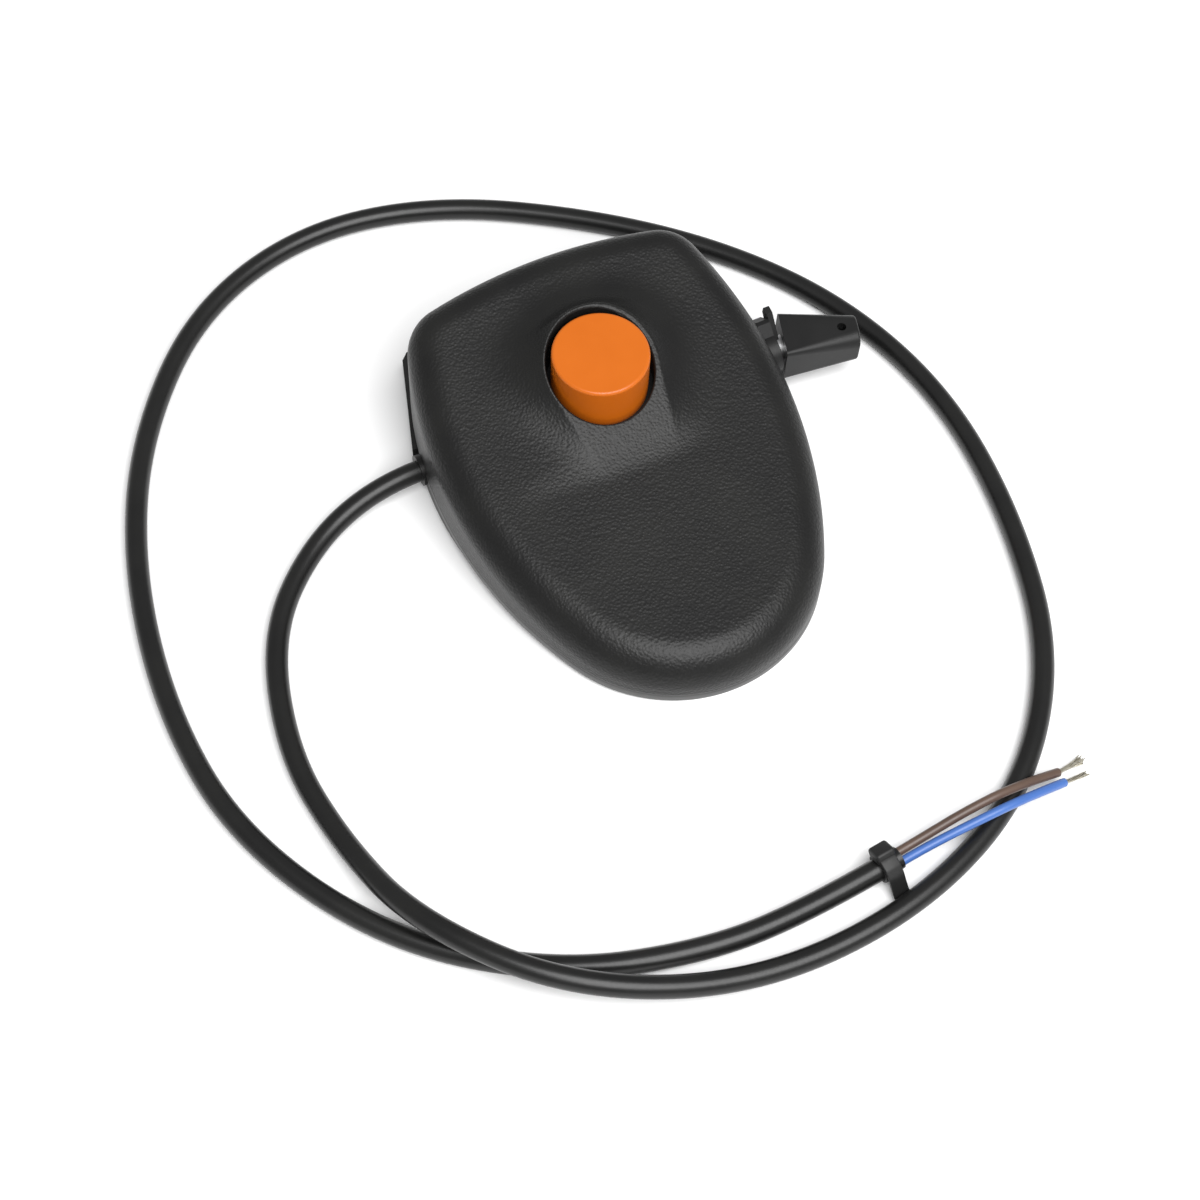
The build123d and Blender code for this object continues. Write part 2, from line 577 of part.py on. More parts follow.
def button_spring():
    wire = SPRING_WIRE / 2
    height = BUTTON_ROOF - STEM_GUIDE_TOP
    return Pos(0, BUTTON_Y, STEM_GUIDE_TOP) * coil(BUTTON_SPRING_RADIUS, wire, BUTTON_SPRING_TURNS, height)


def switch_carrier():
    """Frame that guides the stem, holds the start switch and bears the shaft's inner end."""
    wall_y = (CARRIER_WALL_Y, CARRIER_WALL_Y + CARRIER_WALL)
    frame = box((-CARRIER_HALF, BEARING_X[1]), wall_y, (CARRIER_FOOT, BRIDGE_TOP))
    feet_y = (CARRIER_WALL_Y, CARRIER_SCREW_Y + 3.6)
    frame += box((-CARRIER_HALF, CARRIER_HALF), feet_y, (CARRIER_FOOT, CARRIER_FOOT + CARRIER_WALL))
    bridge_y = (BUTTON_Y - 9.5, wall_y[1])
    frame += box((-10, 10), bridge_y, (BRIDGE_BOTTOM, BRIDGE_TOP))
    frame += post(0, BUTTON_Y, STEM_RADIUS + STEM_GUIDE_WALL, BRIDGE_BOTTOM, STEM_GUIDE_TOP)
    stem_end = STEM_BOTTOM - BUTTON_TRAVEL - GAP
    frame -= post(0, BUTTON_Y, STEM_RADIUS + RUNNING, stem_end, STEM_GUIDE_TOP + 1)
    frame += box(BEARING_X, (SHAFT_Y - 7, wall_y[1]), (CARRIER_FOOT - 1.4, BRIDGE_TOP))
    frame -= bar_x(SHAFT_Y, SHAFT_Z, SHAFT_RADIUS + RUNNING, BEARING_X[0] - 1.5, BEARING_X[1] + 1)
    for side in (-1, 1):
        frame -= post(side * CARRIER_SCREW_X, CARRIER_SCREW_Y, SMALL_SCREW_RADIUS + 0.15, 0, 10)
    for x, z in start_switch_holes():
        frame -= bar_y(x, z, SWITCH_SCREW_RADIUS, wall_y[0] - 1, wall_y[1] + 1)
    return frame


def carrier_screws():
    seat = CARRIER_FOOT + CARRIER_WALL
    tip = small_screw_tip(CARRIER_SCREW_Y)
    return [screw(side * CARRIER_SCREW_X, CARRIER_SCREW_Y, seat, tip, SMALL_SCREW_RADIUS,
                  SMALL_HEAD_RADIUS, SMALL_HEAD_HEIGHT, head_above=True) for side in (-1, 1)]


# ---------------------------------------------------------------- start switch
def start_switch_holes():
    """Fixing holes of the start switch as (x, z) places."""
    middle = START_SWITCH_END + SWITCH_LENGTH / 2
    rise = START_SWITCH_FLOOR + SWITCH_HOLE_RISE
    return [(middle + side * SWITCH_HOLE_PITCH / 2, rise) for side in (-1, 1)]


def start_switch_case():
    spans = ((START_SWITCH_END, START_SWITCH_END + SWITCH_LENGTH),
             (START_SWITCH_Y - SWITCH_WIDTH / 2, START_SWITCH_Y + SWITCH_WIDTH / 2),
             (START_SWITCH_FLOOR, START_SWITCH_TOP))
    case = box(*spans)
    case = fillet(case.edges().filter_by(Axis.Y), 0.6)
    for x, z in start_switch_holes():
        case -= bar_y(x, z, SWITCH_SCREW_RADIUS, spans[1][0] - 1, spans[1][1] + 1)
    case -= post(-ARM_REACH + PLUNGER_REACH, START_SWITCH_Y, PLUNGER_RADIUS + RUNNING,
                 START_SWITCH_TOP - 3, START_SWITCH_TOP + 1)
    for height in BLADE_HEIGHTS:
        case -= start_blade(height)
    return case


def start_plunger():
    """Sprung pin of the start switch, under the arm."""
    arm_above = (PLUNGER_REACH - PLUNGER_RADIUS) * sin(radians(ARM_PRESSED + ARM_SWING))
    top = ARM_PIVOT[1] + arm_above - GAP
    low = START_SWITCH_TOP - 3 + START_PLUNGER_TRAVEL + GAP
    return post(-ARM_REACH + PLUNGER_REACH, START_SWITCH_Y, PLUNGER_RADIUS, low, top)


def start_switch_arm():
    """Sprung sheet arm between the button's stem and the plunger."""
    half = ARM_WIDTH / 2
    strip = box((0.0, ARM_REACH + ARM_OVERHANG), (-half, half), (0, ARM_THICKNESS))
    strip += bar_y(0, 0, ARM_EYE_RADIUS, -half, half)
    return Pos(ARM_PIVOT[0], START_SWITCH_Y, ARM_PIVOT[1]) * Rot(Y=-(ARM_PRESSED + ARM_SWING)) * strip


def start_blade(height):
    half = TERMINAL_WIDTH / 2
    return box((START_SWITCH_END - TERMINAL_LENGTH, START_SWITCH_END + 2),
               (START_SWITCH_Y - half, START_SWITCH_Y + half),
               (height - TERMINAL_THICKNESS / 2, height + TERMINAL_THICKNESS / 2))


def start_switch_screws():
    face = START_SWITCH_Y - SWITCH_WIDTH / 2
    end = CARRIER_WALL_Y + CARRIER_WALL
    heads = SMALL_HEAD_RADIUS - 0.3
    return [bar_y(x, z, SWITCH_SCREW_RADIUS, face, end) + bar_y(x, z, heads, face - SMALL_HEAD_HEIGHT, face)
            for x, z in start_switch_holes()]


# ---------------------------------------------------------------- run switch and bail lever
def run_switch_holes():
    """Fixing holes of the run switch as (x, y) places."""
    y = RUN_FACE_Y - SWITCH_HEIGHT + SWITCH_HOLE_RISE
    return [(RUN_SWITCH_X + side * SWITCH_HOLE_PITCH / 2, y) for side in (-1, 1)]


def run_switch_case():
    spans = ((RUN_SWITCH_END, RUN_SWITCH_END + SWITCH_LENGTH), (RUN_FACE_Y - SWITCH_HEIGHT, RUN_FACE_Y),
             (RUN_SWITCH_FLOOR, RUN_SWITCH_FLOOR + SWITCH_WIDTH))
    case = box(*spans)
    case = fillet(case.edges().filter_by(Axis.Z), 0.6)
    for x, y in run_switch_holes():
        case -= post(x, y, SWITCH_SCREW_RADIUS, spans[2][0] - 1, spans[2][1] + 1)
    case -= bar_y(RUN_SWITCH_X, SHAFT_Z, PLUNGER_RADIUS + RUNNING, RUN_FACE_Y - 5, RUN_FACE_Y + 1)
    for y in BLADE_PLACES:
        case -= run_blade(y)
    return case


def run_plunger():
    """Sprung pin of the run switch with a round tip, pushed by the cam."""
    low = RUN_FACE_Y - 5 + CAM_LIFT + GAP
    centre = SHAFT_Y - CAM_RADIUS - PLUNGER_GAP - PLUNGER_RADIUS
    pin = bar_y(RUN_SWITCH_X, SHAFT_Z, PLUNGER_RADIUS, low, centre)
    return pin + Pos(RUN_SWITCH_X, centre, SHAFT_Z) * Sphere(PLUNGER_RADIUS)


def run_blade(y):
    half = TERMINAL_WIDTH / 2
    return box((RUN_SWITCH_END - TERMINAL_LENGTH, RUN_SWITCH_END + 2),
               (y - TERMINAL_THICKNESS / 2, y + TERMINAL_THICKNESS / 2), (SHAFT_Z - half, SHAFT_Z + half))


def run_switch_screws():
    seat = RUN_SWITCH_FLOOR + SWITCH_WIDTH
    return [screw(x, y, seat, small_screw_tip(y), SWITCH_SCREW_RADIUS, SMALL_HEAD_RADIUS - 0.3,
                  SMALL_HEAD_HEIGHT, head_above=True) for x, y in run_switch_holes()]


def lever_shaft():
    shaft = bar_x(SHAFT_Y, SHAFT_Z, SHAFT_RADIUS, SHAFT_INNER_X, SHAFT_OUTER_X)
    shaft = chamfer(shaft.faces().sort_by(Axis.X)[0].edges(), 0.5)
    return shaft - drive_pin()


def run_cam():
    """Cam whose radius grows evenly with the angle, so that the plunger follows the lever."""
    rate = CAM_LIFT / radians(LEVER_SWING)
    rise = []
    for step in range(-2, 9):
        angle = radians(LEVER_SWING) * step / 6
        radius = CAM_RADIUS + rate * max(angle, 0.0)
        rise.append((SHAFT_Y - radius * cos(angle), SHAFT_Z + radius * sin(angle)))
    start, end = rise[0], rise[-1]
    side_y = SHAFT_Y + CAM_RADIUS
    top = (SHAFT_Y, SHAFT_Z + CAM_RADIUS + CAM_LIFT)
    side = [(side_y, SHAFT_Z + CAM_RADIUS - 2), (side_y, SHAFT_Z - CAM_RADIUS + 2)]
    bottom = (SHAFT_Y, SHAFT_Z - CAM_RADIUS)
    outline = Spline(*rise) + Polyline(end, top, *side, bottom, start)
    face = make_face(Plane.YZ * outline)
    cam = Pos(RUN_SWITCH_X, 0, 0) * extrude(face, CAM_WIDTH / 2, both=True)
    return cam - bar_x(SHAFT_Y, SHAFT_Z, SHAFT_RADIUS, RUN_SWITCH_X - 5, RUN_SWITCH_X + 5)


def shaft_bush():
    bush = bar_x(SHAFT_Y, SHAFT_Z, BUSH_RADIUS, *BUSH_X)
    bush += bar_x(SHAFT_Y, SHAFT_Z, BUSH_FLANGE_RADIUS, BUSH_X[0], BUSH_X[0] + BUSH_FLANGE)
    return bush - bar_x(SHAFT_Y, SHAFT_Z, SHAFT_RADIUS + RUNNING, BUSH_X[0] - 1, BUSH_X[1] + 1)


def shaft_clip():
    """Retaining clip on the shaft, open at one side."""
    clip = bar_x(SHAFT_Y, SHAFT_Z, CLIP_RADIUS, CLIP_X, CLIP_X + CLIP_THICK)
    clip -= bar_x(SHAFT_Y, SHAFT_Z, SHAFT_RADIUS, CLIP_X - 1, CLIP_X + 2)
    mouth = box((CLIP_X - 1, CLIP_X + 2), (SHAFT_Y - 2.4, SHAFT_Y + 2.4), (SHAFT_Z, SHAFT_Z + 10))
    return clip - mouth


def lever_return_spring():
    """Torsion spring round the shaft with two straight legs, bent from one wire."""
    wire = SPRING_WIRE / 2
    start, end = LEVER_SPRING_X
    rise = end - start - SPRING_WIRE
    turns = Helix(rise / LEVER_SPRING_TURNS, rise, LEVER_SPRING_RADIUS)
    first = turns @ 0 - (turns % 0) * LEVER_SPRING_LEG
    last = turns @ 1 + (turns % 1) * LEVER_SPRING_LEG
    path = Wire([Line(first, turns @ 0), turns, Line(turns @ 1, last)])
    section = Plane(first, z_dir=turns % 0) * Circle(wire)
    spring = sweep(section, path=path, is_frenet=True)
    return Pos(start + wire, SHAFT_Y, SHAFT_Z) * Rot(Y=90) * spring


def lever_collar():
    """Collar with its stop lug and fin, between the housing and the socket."""
    collar = bar_x(SHAFT_Y, SHAFT_Z, COLLAR_OUTER, COLLAR_X, COLLAR_X + COLLAR_THICK)
    lug = box((0.0, COLLAR_THICK), (0.0, LUG_REACH), (-LUG_WIDTH / 2, LUG_WIDTH / 2))
    lug = chamfer(lug.faces().sort_by(Axis.Y)[-1].edges().filter_by(Axis.X), LUG_CHAMFER)
    collar += Pos(COLLAR_X, SHAFT_Y, SHAFT_Z) * Rot(X=LUG_ANGLE) * lug
    fin = box((0.0, FIN_THICK), (0.0, FIN_REACH), (-FIN_WIDTH / 2, FIN_WIDTH / 2))
    fin = chamfer(fin.faces().sort_by(Axis.Y)[-1].edges().filter_by(Axis.X), FIN_CHAMFER)
    collar += Pos(COLLAR_X + COLLAR_THICK, SHAFT_Y, SHAFT_Z) * Rot(X=FIN_ANGLE) * fin
    return collar - bar_x(SHAFT_Y, SHAFT_Z, SHAFT_RADIUS, COLLAR_X - 1, SOCKET_START)


def socket_plane():
    """Frame at the middle of the socket's root: Z along the socket, X across it."""
    slant = radians(SOCKET_SLANT)
    across = (sin(slant), cos(slant), 0)
    middle = (SOCKET_START + SOCKET_SHIFT * across[0], SHAFT_Y + SOCKET_SHIFT * across[1], SHAFT_Z)
    return Plane(origin=middle, x_dir=across, z_dir=(cos(slant), -sin(slant), 0))


def lever_socket():
    """Tapered socket for the bail's end, cranked away from the shaft's axis."""
    plane = socket_plane()
    root = plane * RectangleRounded(*SOCKET_ROOT, SOCKET_ROOT_ROUND)
    end = plane * Pos(0, 0, SOCKET_LENGTH) * RectangleRounded(*SOCKET_END, SOCKET_END_ROUND)
    body = loft([root, end], ruled=True)
    body = fillet(body.faces().sort_by(Axis.X)[-1].edges(), 0.8)
    bore_middle = SOCKET_LENGTH - LEVER_BORE_DEPTH / 2 + 1
    body -= plane * Pos(0, 0, bore_middle) * Cylinder(LEVER_BORE_RADIUS, LEVER_BORE_DEPTH + 2)
    body -= bar_x(SHAFT_Y, SHAFT_Z, SHAFT_RADIUS, COLLAR_X, SHAFT_OUTER_X)
    pin_hole = plane * Pos(0, 0, SOCKET_LENGTH - PIN_HOLE_INSET) * Rot(X=90) * Cylinder(PIN_HOLE_RADIUS, 30)
    return body - pin_hole - drive_pin()


def drive_pin():
    """Pin that locks the socket to the shaft."""
    return post(DRIVE_PIN_X, SHAFT_Y, DRIVE_PIN_RADIUS, SHAFT_Z - 6.0, SHAFT_Z + 6.0)


# ---------------------------------------------------------------- cord inside the housing
def cord_entry():
    """The jacket from the bush's outer face to its end inside."""
    return bar_x(CORD_Y, 0, CORD_RADIUS, CORD_FACE_X, CORD_INNER_X)


def cord_bush():
    bush = bar_x(CORD_Y, 0, CORD_BUSH_RADIUS, CORD_FACE_X, CORD_FLANGE_X[1])
    bush += bar_x(CORD_Y, 0, CORD_FLANGE_RADIUS, *CORD_FLANGE_X)
    return bush - bar_x(CORD_Y, 0, CORD_RADIUS, CORD_FACE_X - 1, CORD_FLANGE_X[1] + 1)


def clamp_screw_places():
    return [(sum(CLAMP_X) / 2, CORD_Y + side * CLAMP_SCREW_REACH) for side in (-1, 1)]


def cord_clamp():
    """Clamp bar over the cord."""
    spread = (CORD_Y - CLAMP_HALF, CORD_Y + CLAMP_HALF)
    clamp = box(CLAMP_X, spread, (CLAMP_BED + CLAMP_SPLIT, CLAMP_TOP))
    clamp = fillet(clamp.faces().sort_by(Axis.Z)[-1].edges().filter_by(Axis.X), 1.5)
    clamp -= bar_x(CORD_Y, 0, CORD_RADIUS, CLAMP_X[0] - 1, CLAMP_X[1] + 1)
    for x, y in clamp_screw_places():
        clamp -= post(x, y, SMALL_SCREW_RADIUS + 0.15, -1, 10)
    return clamp


def clamp_screws():
    return [screw(x, y, CLAMP_TOP, small_screw_tip(y), SMALL_SCREW_RADIUS, SMALL_HEAD_RADIUS - 0.3,
                  SMALL_HEAD_HEIGHT, head_above=True) for x, y in clamp_screw_places()]


def receptacles():
    """Push-on receptacles over the four switch blades."""
    sleeves = []
    for height in BLADE_HEIGHTS:
        sleeve = box((START_LEAD_X, START_LEAD_X + RECEPTACLE_LENGTH),
                     (START_SWITCH_Y - RECEPTACLE_WIDTH / 2, START_SWITCH_Y + RECEPTACLE_WIDTH / 2),
                     (height - RECEPTACLE_THICK / 2, height + RECEPTACLE_THICK / 2))
        sleeves.append(sleeve - start_blade(height))
    for y in BLADE_PLACES:
        sleeve = box((RUN_LEAD_X, RUN_LEAD_X + RECEPTACLE_LENGTH),
                     (y - RECEPTACLE_THICK / 2, y + RECEPTACLE_THICK / 2),
                     (SHAFT_Z - RECEPTACLE_WIDTH / 2, SHAFT_Z + RECEPTACLE_WIDTH / 2))
        sleeves.append(sleeve - run_blade(y))
    return sleeves


# ---------------------------------------------------------------- tubes along a route
def turn_radii(points):
    """Largest arc for each corner: 0.45 of the shorter run over the tangent of half the turn."""
    radii = []
    for before, corner, after in zip(points, points[1:], points[2:]):
        into = Vector(*corner) - Vector(*before)
        away = Vector(*after) - Vector(*corner)
        half_turn = radians(into.get_angle(away)) / 2
        radii.append(0.45 * min(into.length, away.length) / tan(half_turn))
    return radii


def tube(points, radius, name=None):
    """Round tube along straight runs joined by tangent arcs."""
    radii = turn_radii(points)
    path = FilletPolyline(*points, radius=radii)
    section = Plane(path @ 0, z_dir=path % 0) * Circle(radius)
    solid = sweep(section, path=path)
    if name:
        expected = pi * radius ** 2 * path.length
        print(f"{name}: length {path.length:.1f}, radii {min(radii):.0f} to {max(radii):.0f}, "
              f"volume {solid.volume:.0f} of {expected:.0f}")
    return solid


def inner_leads():
    """Routes of the single-core leads inside the housing, each from end to end."""
    low, high = BLADE_HEIGHTS
    near, far = BLADE_PLACES
    start_y = START_SWITCH_Y
    brown = [(CORD_INNER_X, CORD_Y + 1.5, 0.6), (CORD_INNER_X + 5.5, CORD_Y + 1.5, 0.6),
             (START_LEAD_X - 3.7, start_y, high), (START_LEAD_X, start_y, high)]
    blue = [(CORD_INNER_X, CORD_Y - 1.5, -0.6), (CORD_INNER_X + 3.0, CORD_Y - 1.5, -0.6),
            (CORD_INNER_X + 4.8, start_y - 2.2, 0.4), (CORD_INNER_X + 7.0, near + 4.0, 2.6),
            (-20.0, near - 1.5, 4.4), (0.0, near - 2.0, 5.6), (RUN_LEAD_X - 5.5, near, SHAFT_Z),
            (RUN_LEAD_X, near, SHAFT_Z)]
    link = [(START_LEAD_X, start_y, low), (START_LEAD_X - 3.5, start_y, low),
            (START_LEAD_X - 3.9, start_y - 7.3, low + 1.1), (-20.0, far + 0.6, low + 2.6),
            (0.0, far - 0.4, 5.0), (RUN_LEAD_X - 5.0, far, SHAFT_Z), (RUN_LEAD_X, far, SHAFT_Z)]
    return brown, blue, link


def lead_start():
    """Where the free lead leaves the bush, in the placed frame."""
    mouth = place(Pos(CORD_FACE_X, CORD_Y, 0) * Sphere(1)).center()
    return (mouth.X, mouth.Y, mouth.Z)


def cord_route():
    """Route of the free lead: the bush's mouth, a short level start, then the chosen points."""
    mouth = lead_start()
    level_start = (mouth[0] - 14.0, mouth[1], mouth[2])
    return (mouth, level_start) + ROUTE


def jacket_end():
    """End point of the free jacket and its direction there."""
    last = Vector(*ROUTE[-1])
    return last, (last - Vector(*ROUTE[-2])).normalized()


def core_route(side, points):
    """A core's route, from its place in the jacket's end face."""
    end, along = jacket_end()
    across = along.cross(Vector(0, 0, 1)).normalized() * (-side * (CORE_RADIUS + 0.15))
    start = end + across
    return (tuple(start), tuple(start + along * CORE_START)) + points


def strands(points, end):
    """Bare strands beyond the insulation, as one slim bundle."""
    last = Vector(*points[-1])
    along = (last - Vector(*points[-2])).normalized()
    bend = last + along * STRAND_START
    return tube((tuple(last), tuple(bend), end), STRAND_RADIUS)


def cable_tie():
    """Tie round the jacket's end: band, head and cut tail."""
    end, along = jacket_end()
    middle = end - along * (TIE_WIDTH / 2 + TIE_INSET)
    plane = Plane(origin=middle, x_dir=(-along.Y, along.X, 0), z_dir=along)
    outer = CORD_RADIUS + TIE_THICK
    core = plane * Cylinder(CORD_RADIUS, 3 * TIE_WIDTH)
    band = plane * Cylinder(outer, TIE_WIDTH)
    head_x, head_y = TIE_HEAD_PLACE
    head = plane * Pos(head_x, head_y, 0) * Rot(Z=TIE_HEAD_TURN) * Box(*TIE_HEAD)
    tail_x, tail_y = TIE_TAIL_START
    strip = Pos(TIE_TAIL_LENGTH / 2, 0, 0) * Box(TIE_TAIL_LENGTH, TIE_THICK, TIE_WIDTH)
    tail = plane * Pos(tail_x, tail_y, 0) * Rot(Z=TIE_TAIL_TURN) * strip
    return band + head + tail - core


# ---------------------------------------------------------------- write the pieces
def house_pieces():
    """Every piece drawn in the housing frame."""
    brown, blue, link = inner_leads()
    return {
        "upper_cover": upper_cover(),
        "lower_housing": lower_housing(),
        "tube_saddle": tube_saddle(),
        "cover_screws": cover_screws(),
        "saddle_screws": saddle_screws(),
        "push_button": push_button(),
        "button_guide": button_guide(),
        "button_spring": button_spring(),
        "switch_carrier": switch_carrier(),
        "carrier_screws": carrier_screws(),
        "start_switch_case": start_switch_case(),
        "start_switch_plunger": start_plunger(),
        "start_switch_arm": start_switch_arm(),
        "start_switch_blades": [start_blade(height) for height in BLADE_HEIGHTS],
        "start_switch_screws": start_switch_screws(),
        "run_switch_case": run_switch_case(),
        "run_switch_plunger": run_plunger(),
        "run_switch_blades": [run_blade(y) for y in BLADE_PLACES],
        "run_switch_screws": run_switch_screws(),
        "lever_shaft": lever_shaft(),
        "run_cam": run_cam(),
        "shaft_bush": shaft_bush(),
        "shaft_clip": shaft_clip(),
        "lever_return_spring": lever_return_spring(),
        "lever_collar": lever_collar(),
        "lever_socket": lever_socket(),
        "lever_drive_pin": drive_pin(),
        "cord_entry": cord_entry(),
        "cord_bush": cord_bush(),
        "cord_clamp": cord_clamp(),
        "clamp_screws": clamp_screws(),
        "blade_receptacles": receptacles(),
        "brown_inner_lead": tube(brown, CORE_RADIUS, "brown inner lead"),
        "blue_inner_lead": tube(blue, CORE_RADIUS, "blue inner lead"),
        "link_lead": tube(link, CORE_RADIUS, "link lead"),
    }


def lead_pieces():
    """The free lead and what is on it, drawn in the placed frame."""
    brown = core_route(1, BROWN_ROUTE)
    blue = core_route(-1, BLUE_ROUTE)
    return {
        "cord_jacket": tube(cord_route(), CORD_RADIUS, "cord jacket"),
        "brown_core": tube(brown, CORE_RADIUS, "brown core"),
        "blue_core": tube(blue, CORE_RADIUS, "blue core"),
        "brown_strands": strands(brown, BROWN_STRANDS_END),
        "blue_strands": strands(blue, BLUE_STRANDS_END),
        "cable_tie": cable_tie(),
    }


def write(name, shape):
    """One STEP file for one node; a list becomes a group of separate solids."""
    solids = shape if isinstance(shape, list) else [shape]
    pieces = [solid for item in solids for solid in item.solids()]
    export_step(Compound(children=pieces) if len(pieces) > 1 else pieces[0], f"parts/{name}.step")


def main():
    os.makedirs("parts", exist_ok=True)
    pieces = {}
    for name, shape in house_pieces().items():
        pieces[name] = [place(item) for item in shape] if isinstance(shape, list) else place(shape)
    pieces.update(lead_pieces())
    for name, shape in pieces.items():
        write(name, shape)


main()
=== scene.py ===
"""Handle-mounted control box with a push button, a bail lever socket and a two-core lead.

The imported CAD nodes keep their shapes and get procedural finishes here. The cover, the
lead, its cores, their bare strands, the cable tie and the button's coil are modelled again
in finer form, and the cover's screw pillars are added as pieces of their own.
Sizes are in millimetres in the housing's own frame (X to the right, Y from the tip to
the back, Z square to the parting plane); at() turns them into metres in the row frame.
"""

import json
from math import cos, hypot, pi, radians, sin, sqrt

import bmesh
import bpy
import numpy as np
from mathutils import Matrix, Vector


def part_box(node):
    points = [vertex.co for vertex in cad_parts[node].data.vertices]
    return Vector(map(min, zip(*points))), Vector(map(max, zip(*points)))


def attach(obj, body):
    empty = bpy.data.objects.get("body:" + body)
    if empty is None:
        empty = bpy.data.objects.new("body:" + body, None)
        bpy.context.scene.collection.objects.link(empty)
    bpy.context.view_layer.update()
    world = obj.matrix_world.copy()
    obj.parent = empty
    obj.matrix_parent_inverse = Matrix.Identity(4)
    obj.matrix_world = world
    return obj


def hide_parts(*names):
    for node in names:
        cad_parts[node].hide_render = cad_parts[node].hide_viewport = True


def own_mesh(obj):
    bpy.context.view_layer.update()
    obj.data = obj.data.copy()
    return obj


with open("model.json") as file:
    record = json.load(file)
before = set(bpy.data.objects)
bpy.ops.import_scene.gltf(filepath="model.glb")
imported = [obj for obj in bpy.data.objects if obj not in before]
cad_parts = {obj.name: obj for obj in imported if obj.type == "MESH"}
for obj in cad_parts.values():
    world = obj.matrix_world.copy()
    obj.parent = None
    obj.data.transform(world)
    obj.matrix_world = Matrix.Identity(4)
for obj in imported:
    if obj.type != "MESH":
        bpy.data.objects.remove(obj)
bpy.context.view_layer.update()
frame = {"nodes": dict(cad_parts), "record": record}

# ---------------------------------------------------------------- camera and lamp, metres
CAMERA_PLACE = (-0.2012, -0.3703, 0.6046)
CAMERA_TARGET = (-0.0388, -0.0293, 0.0)
CAMERA_LENS = 73.4             # millimetres, on a sensor 36 mm wide
CAMERA_SENSOR = 36.0
LAMP_PLACE = (0.02, -0.68, 1.14)
LAMP_TARGET = (-0.02, 0.0, 0.0)
LAMP_SIZE = (1.1, 1.05)
LAMP_POWER = 27.0
ROOM_LIGHT = 0.42
FLOOR_HALF = 6.0

# ---------------------------------------------------------------- sizes, mm and degrees
MM = 0.001
TILT = 4.0
HOME = (-16.0, -73.0)          # the tip's lower edge in the row frame
LENGTH = 139.0
TIP_RADIUS = 44.6
SIDE_RADIUS = 130.0
SIDE_ANGLE = 27.3
BACK_RADIUS = 175.0
CORNER_RADIUS = 14.5
TIP_HEIGHT = 16.8
BACK_HEIGHT = 39.5
TOP_SAG = 3.1
TOP_ROUND = 11.0
WALL = 2.5
BAND_HEIGHT = 3.2              # smooth ungrained band along the cover's lower edge; its lighter grey is painted reflection of the white floor
BAND_GROOVE = 0.22
EDGE_ROUND = 0.35

BUTTON_Y = 94.2
WELL_RADIUS = 15.85
WELL_ROUND = 0.7
COLLAR_RADIUS = 18.05
COLLAR_BOTTOM = 17.4
FACET_LOW = 29.6
FACET_HIGH = 43.2
FACET_CREST = 1.1              # behind the well
REAR_DROP = 4.0
BOSS_RADIUS = 17.0
BOSS_X = 0.7                   # the facet stands a little to the right of the button
NOSE_RADIUS = 10.8
NOSE_Y = 64.0
FLANK_REACH = 24.0
FLANK_POWER = 3.6
FACET_EDGE = 0.6               # rounding between facet and flank
FACET_FOOT = 1.0               # hollow where the facet meets the top
APRON_RISE = 0.5               # low plateau that the boss stands on
APRON_FRONT = (65.0, 74.0)     # its front slope, in Y
APRON_BACK = (98.0, 122.0)     # it fades out again behind the button
APRON_SIDE = (17.0, 36.0)      # its sides fade out, in X about its middle
APRON_X = -7.0

SHAFT_PLACE = (94.5, 7.4)      # lever shaft: Y, Z
BUSH_BORE = 5.55               # radius
BUSH_BORE_SPAN = (45.0, 65.0)  # in X, right through the right wall
CORD_PLACE = (104.0, 0.0)      # lead's exit: Y, Z
CORD_BUSH_BORE = 4.75          # radius
CORD_BORE_SPAN = (-64.0, -45.0)

COVER_SCREWS = ((0.0, 17.0), (-31.0, 57.0), (31.0, 57.0))
SADDLE_SCREWS = ((-32.0, 115.0), (32.0, 115.0))
PILLAR_RADIUS = 3.9
PILLAR_BORE = 1.5
PILLAR_FOOT = 4.8
PILLAR_CLEARANCE = 1.2         # between a pillar's head and the cover's inner roof
REAR_SCREW_LENGTH = 6.5        # saddle screws in the rear pillars' feet

CORD_DIAMETER = 6.5
CORE_DIAMETER = 2.6

# The lead's route in the row frame, as the CAD solids have it.
JACKET_ROUTE = (
    (-70.0, 30.747, 7.255), (-84.0, 30.747, 7.255), (-108.0, 22.4, 3.25),
    (-130.0, -1.0, 3.25), (-140.0, -39.0, 3.25), (-137.0, -71.0, 3.25),
    (-129.0, -106.0, 13.2), (-100.0, -141.0, 13.2), (-54.0, -157.0, 3.25),
    (-4.0, -156.0, 3.25), (39.0, -138.0, 3.25), (69.0, -103.0, 3.25),
    (83.0, -57.0, 3.25), (87.0, -11.0, 3.25), (77.0, 31.0, 3.25),
    (55.0, 67.0, 3.25), (22.0, 99.0, 3.25), (-22.0, 127.0, 3.25),
    (-66.0, 135.0, 3.25), (-108.0, 119.0, 3.25), (-140.0, 81.0, 3.25),
    (-158.0, 38.0, 3.25), (-166.0, -11.0, 3.25), (-162.0, -57.0, 3.25),
    (-138.0, -102.0, 3.25), (-101.0, -131.0, 3.25), (-61.0, -143.0, 3.25),
    (-28.0, -144.0, 4.2), (-2.5, -141.4, 5.4),
)
BROWN_ROUTE = (
    (-2.65, -139.96, 5.4), (5.3, -139.15, 5.77), (20.0, -138.6, 9.6),
    (36.0, -137.8, 9.5), (51.0, -136.6, 2.9),
)
BLUE_ROUTE = (
    (-2.35, -142.84, 5.4), (5.6, -142.03, 5.77), (20.0, -142.6, 9.4),
    (36.5, -142.0, 9.3), (51.0, -140.0, 2.7),
)
BROWN_STRANDS_END = (60.5, -135.1, 1.1)
BLUE_STRANDS_END = (59.5, -139.6, 1.0)
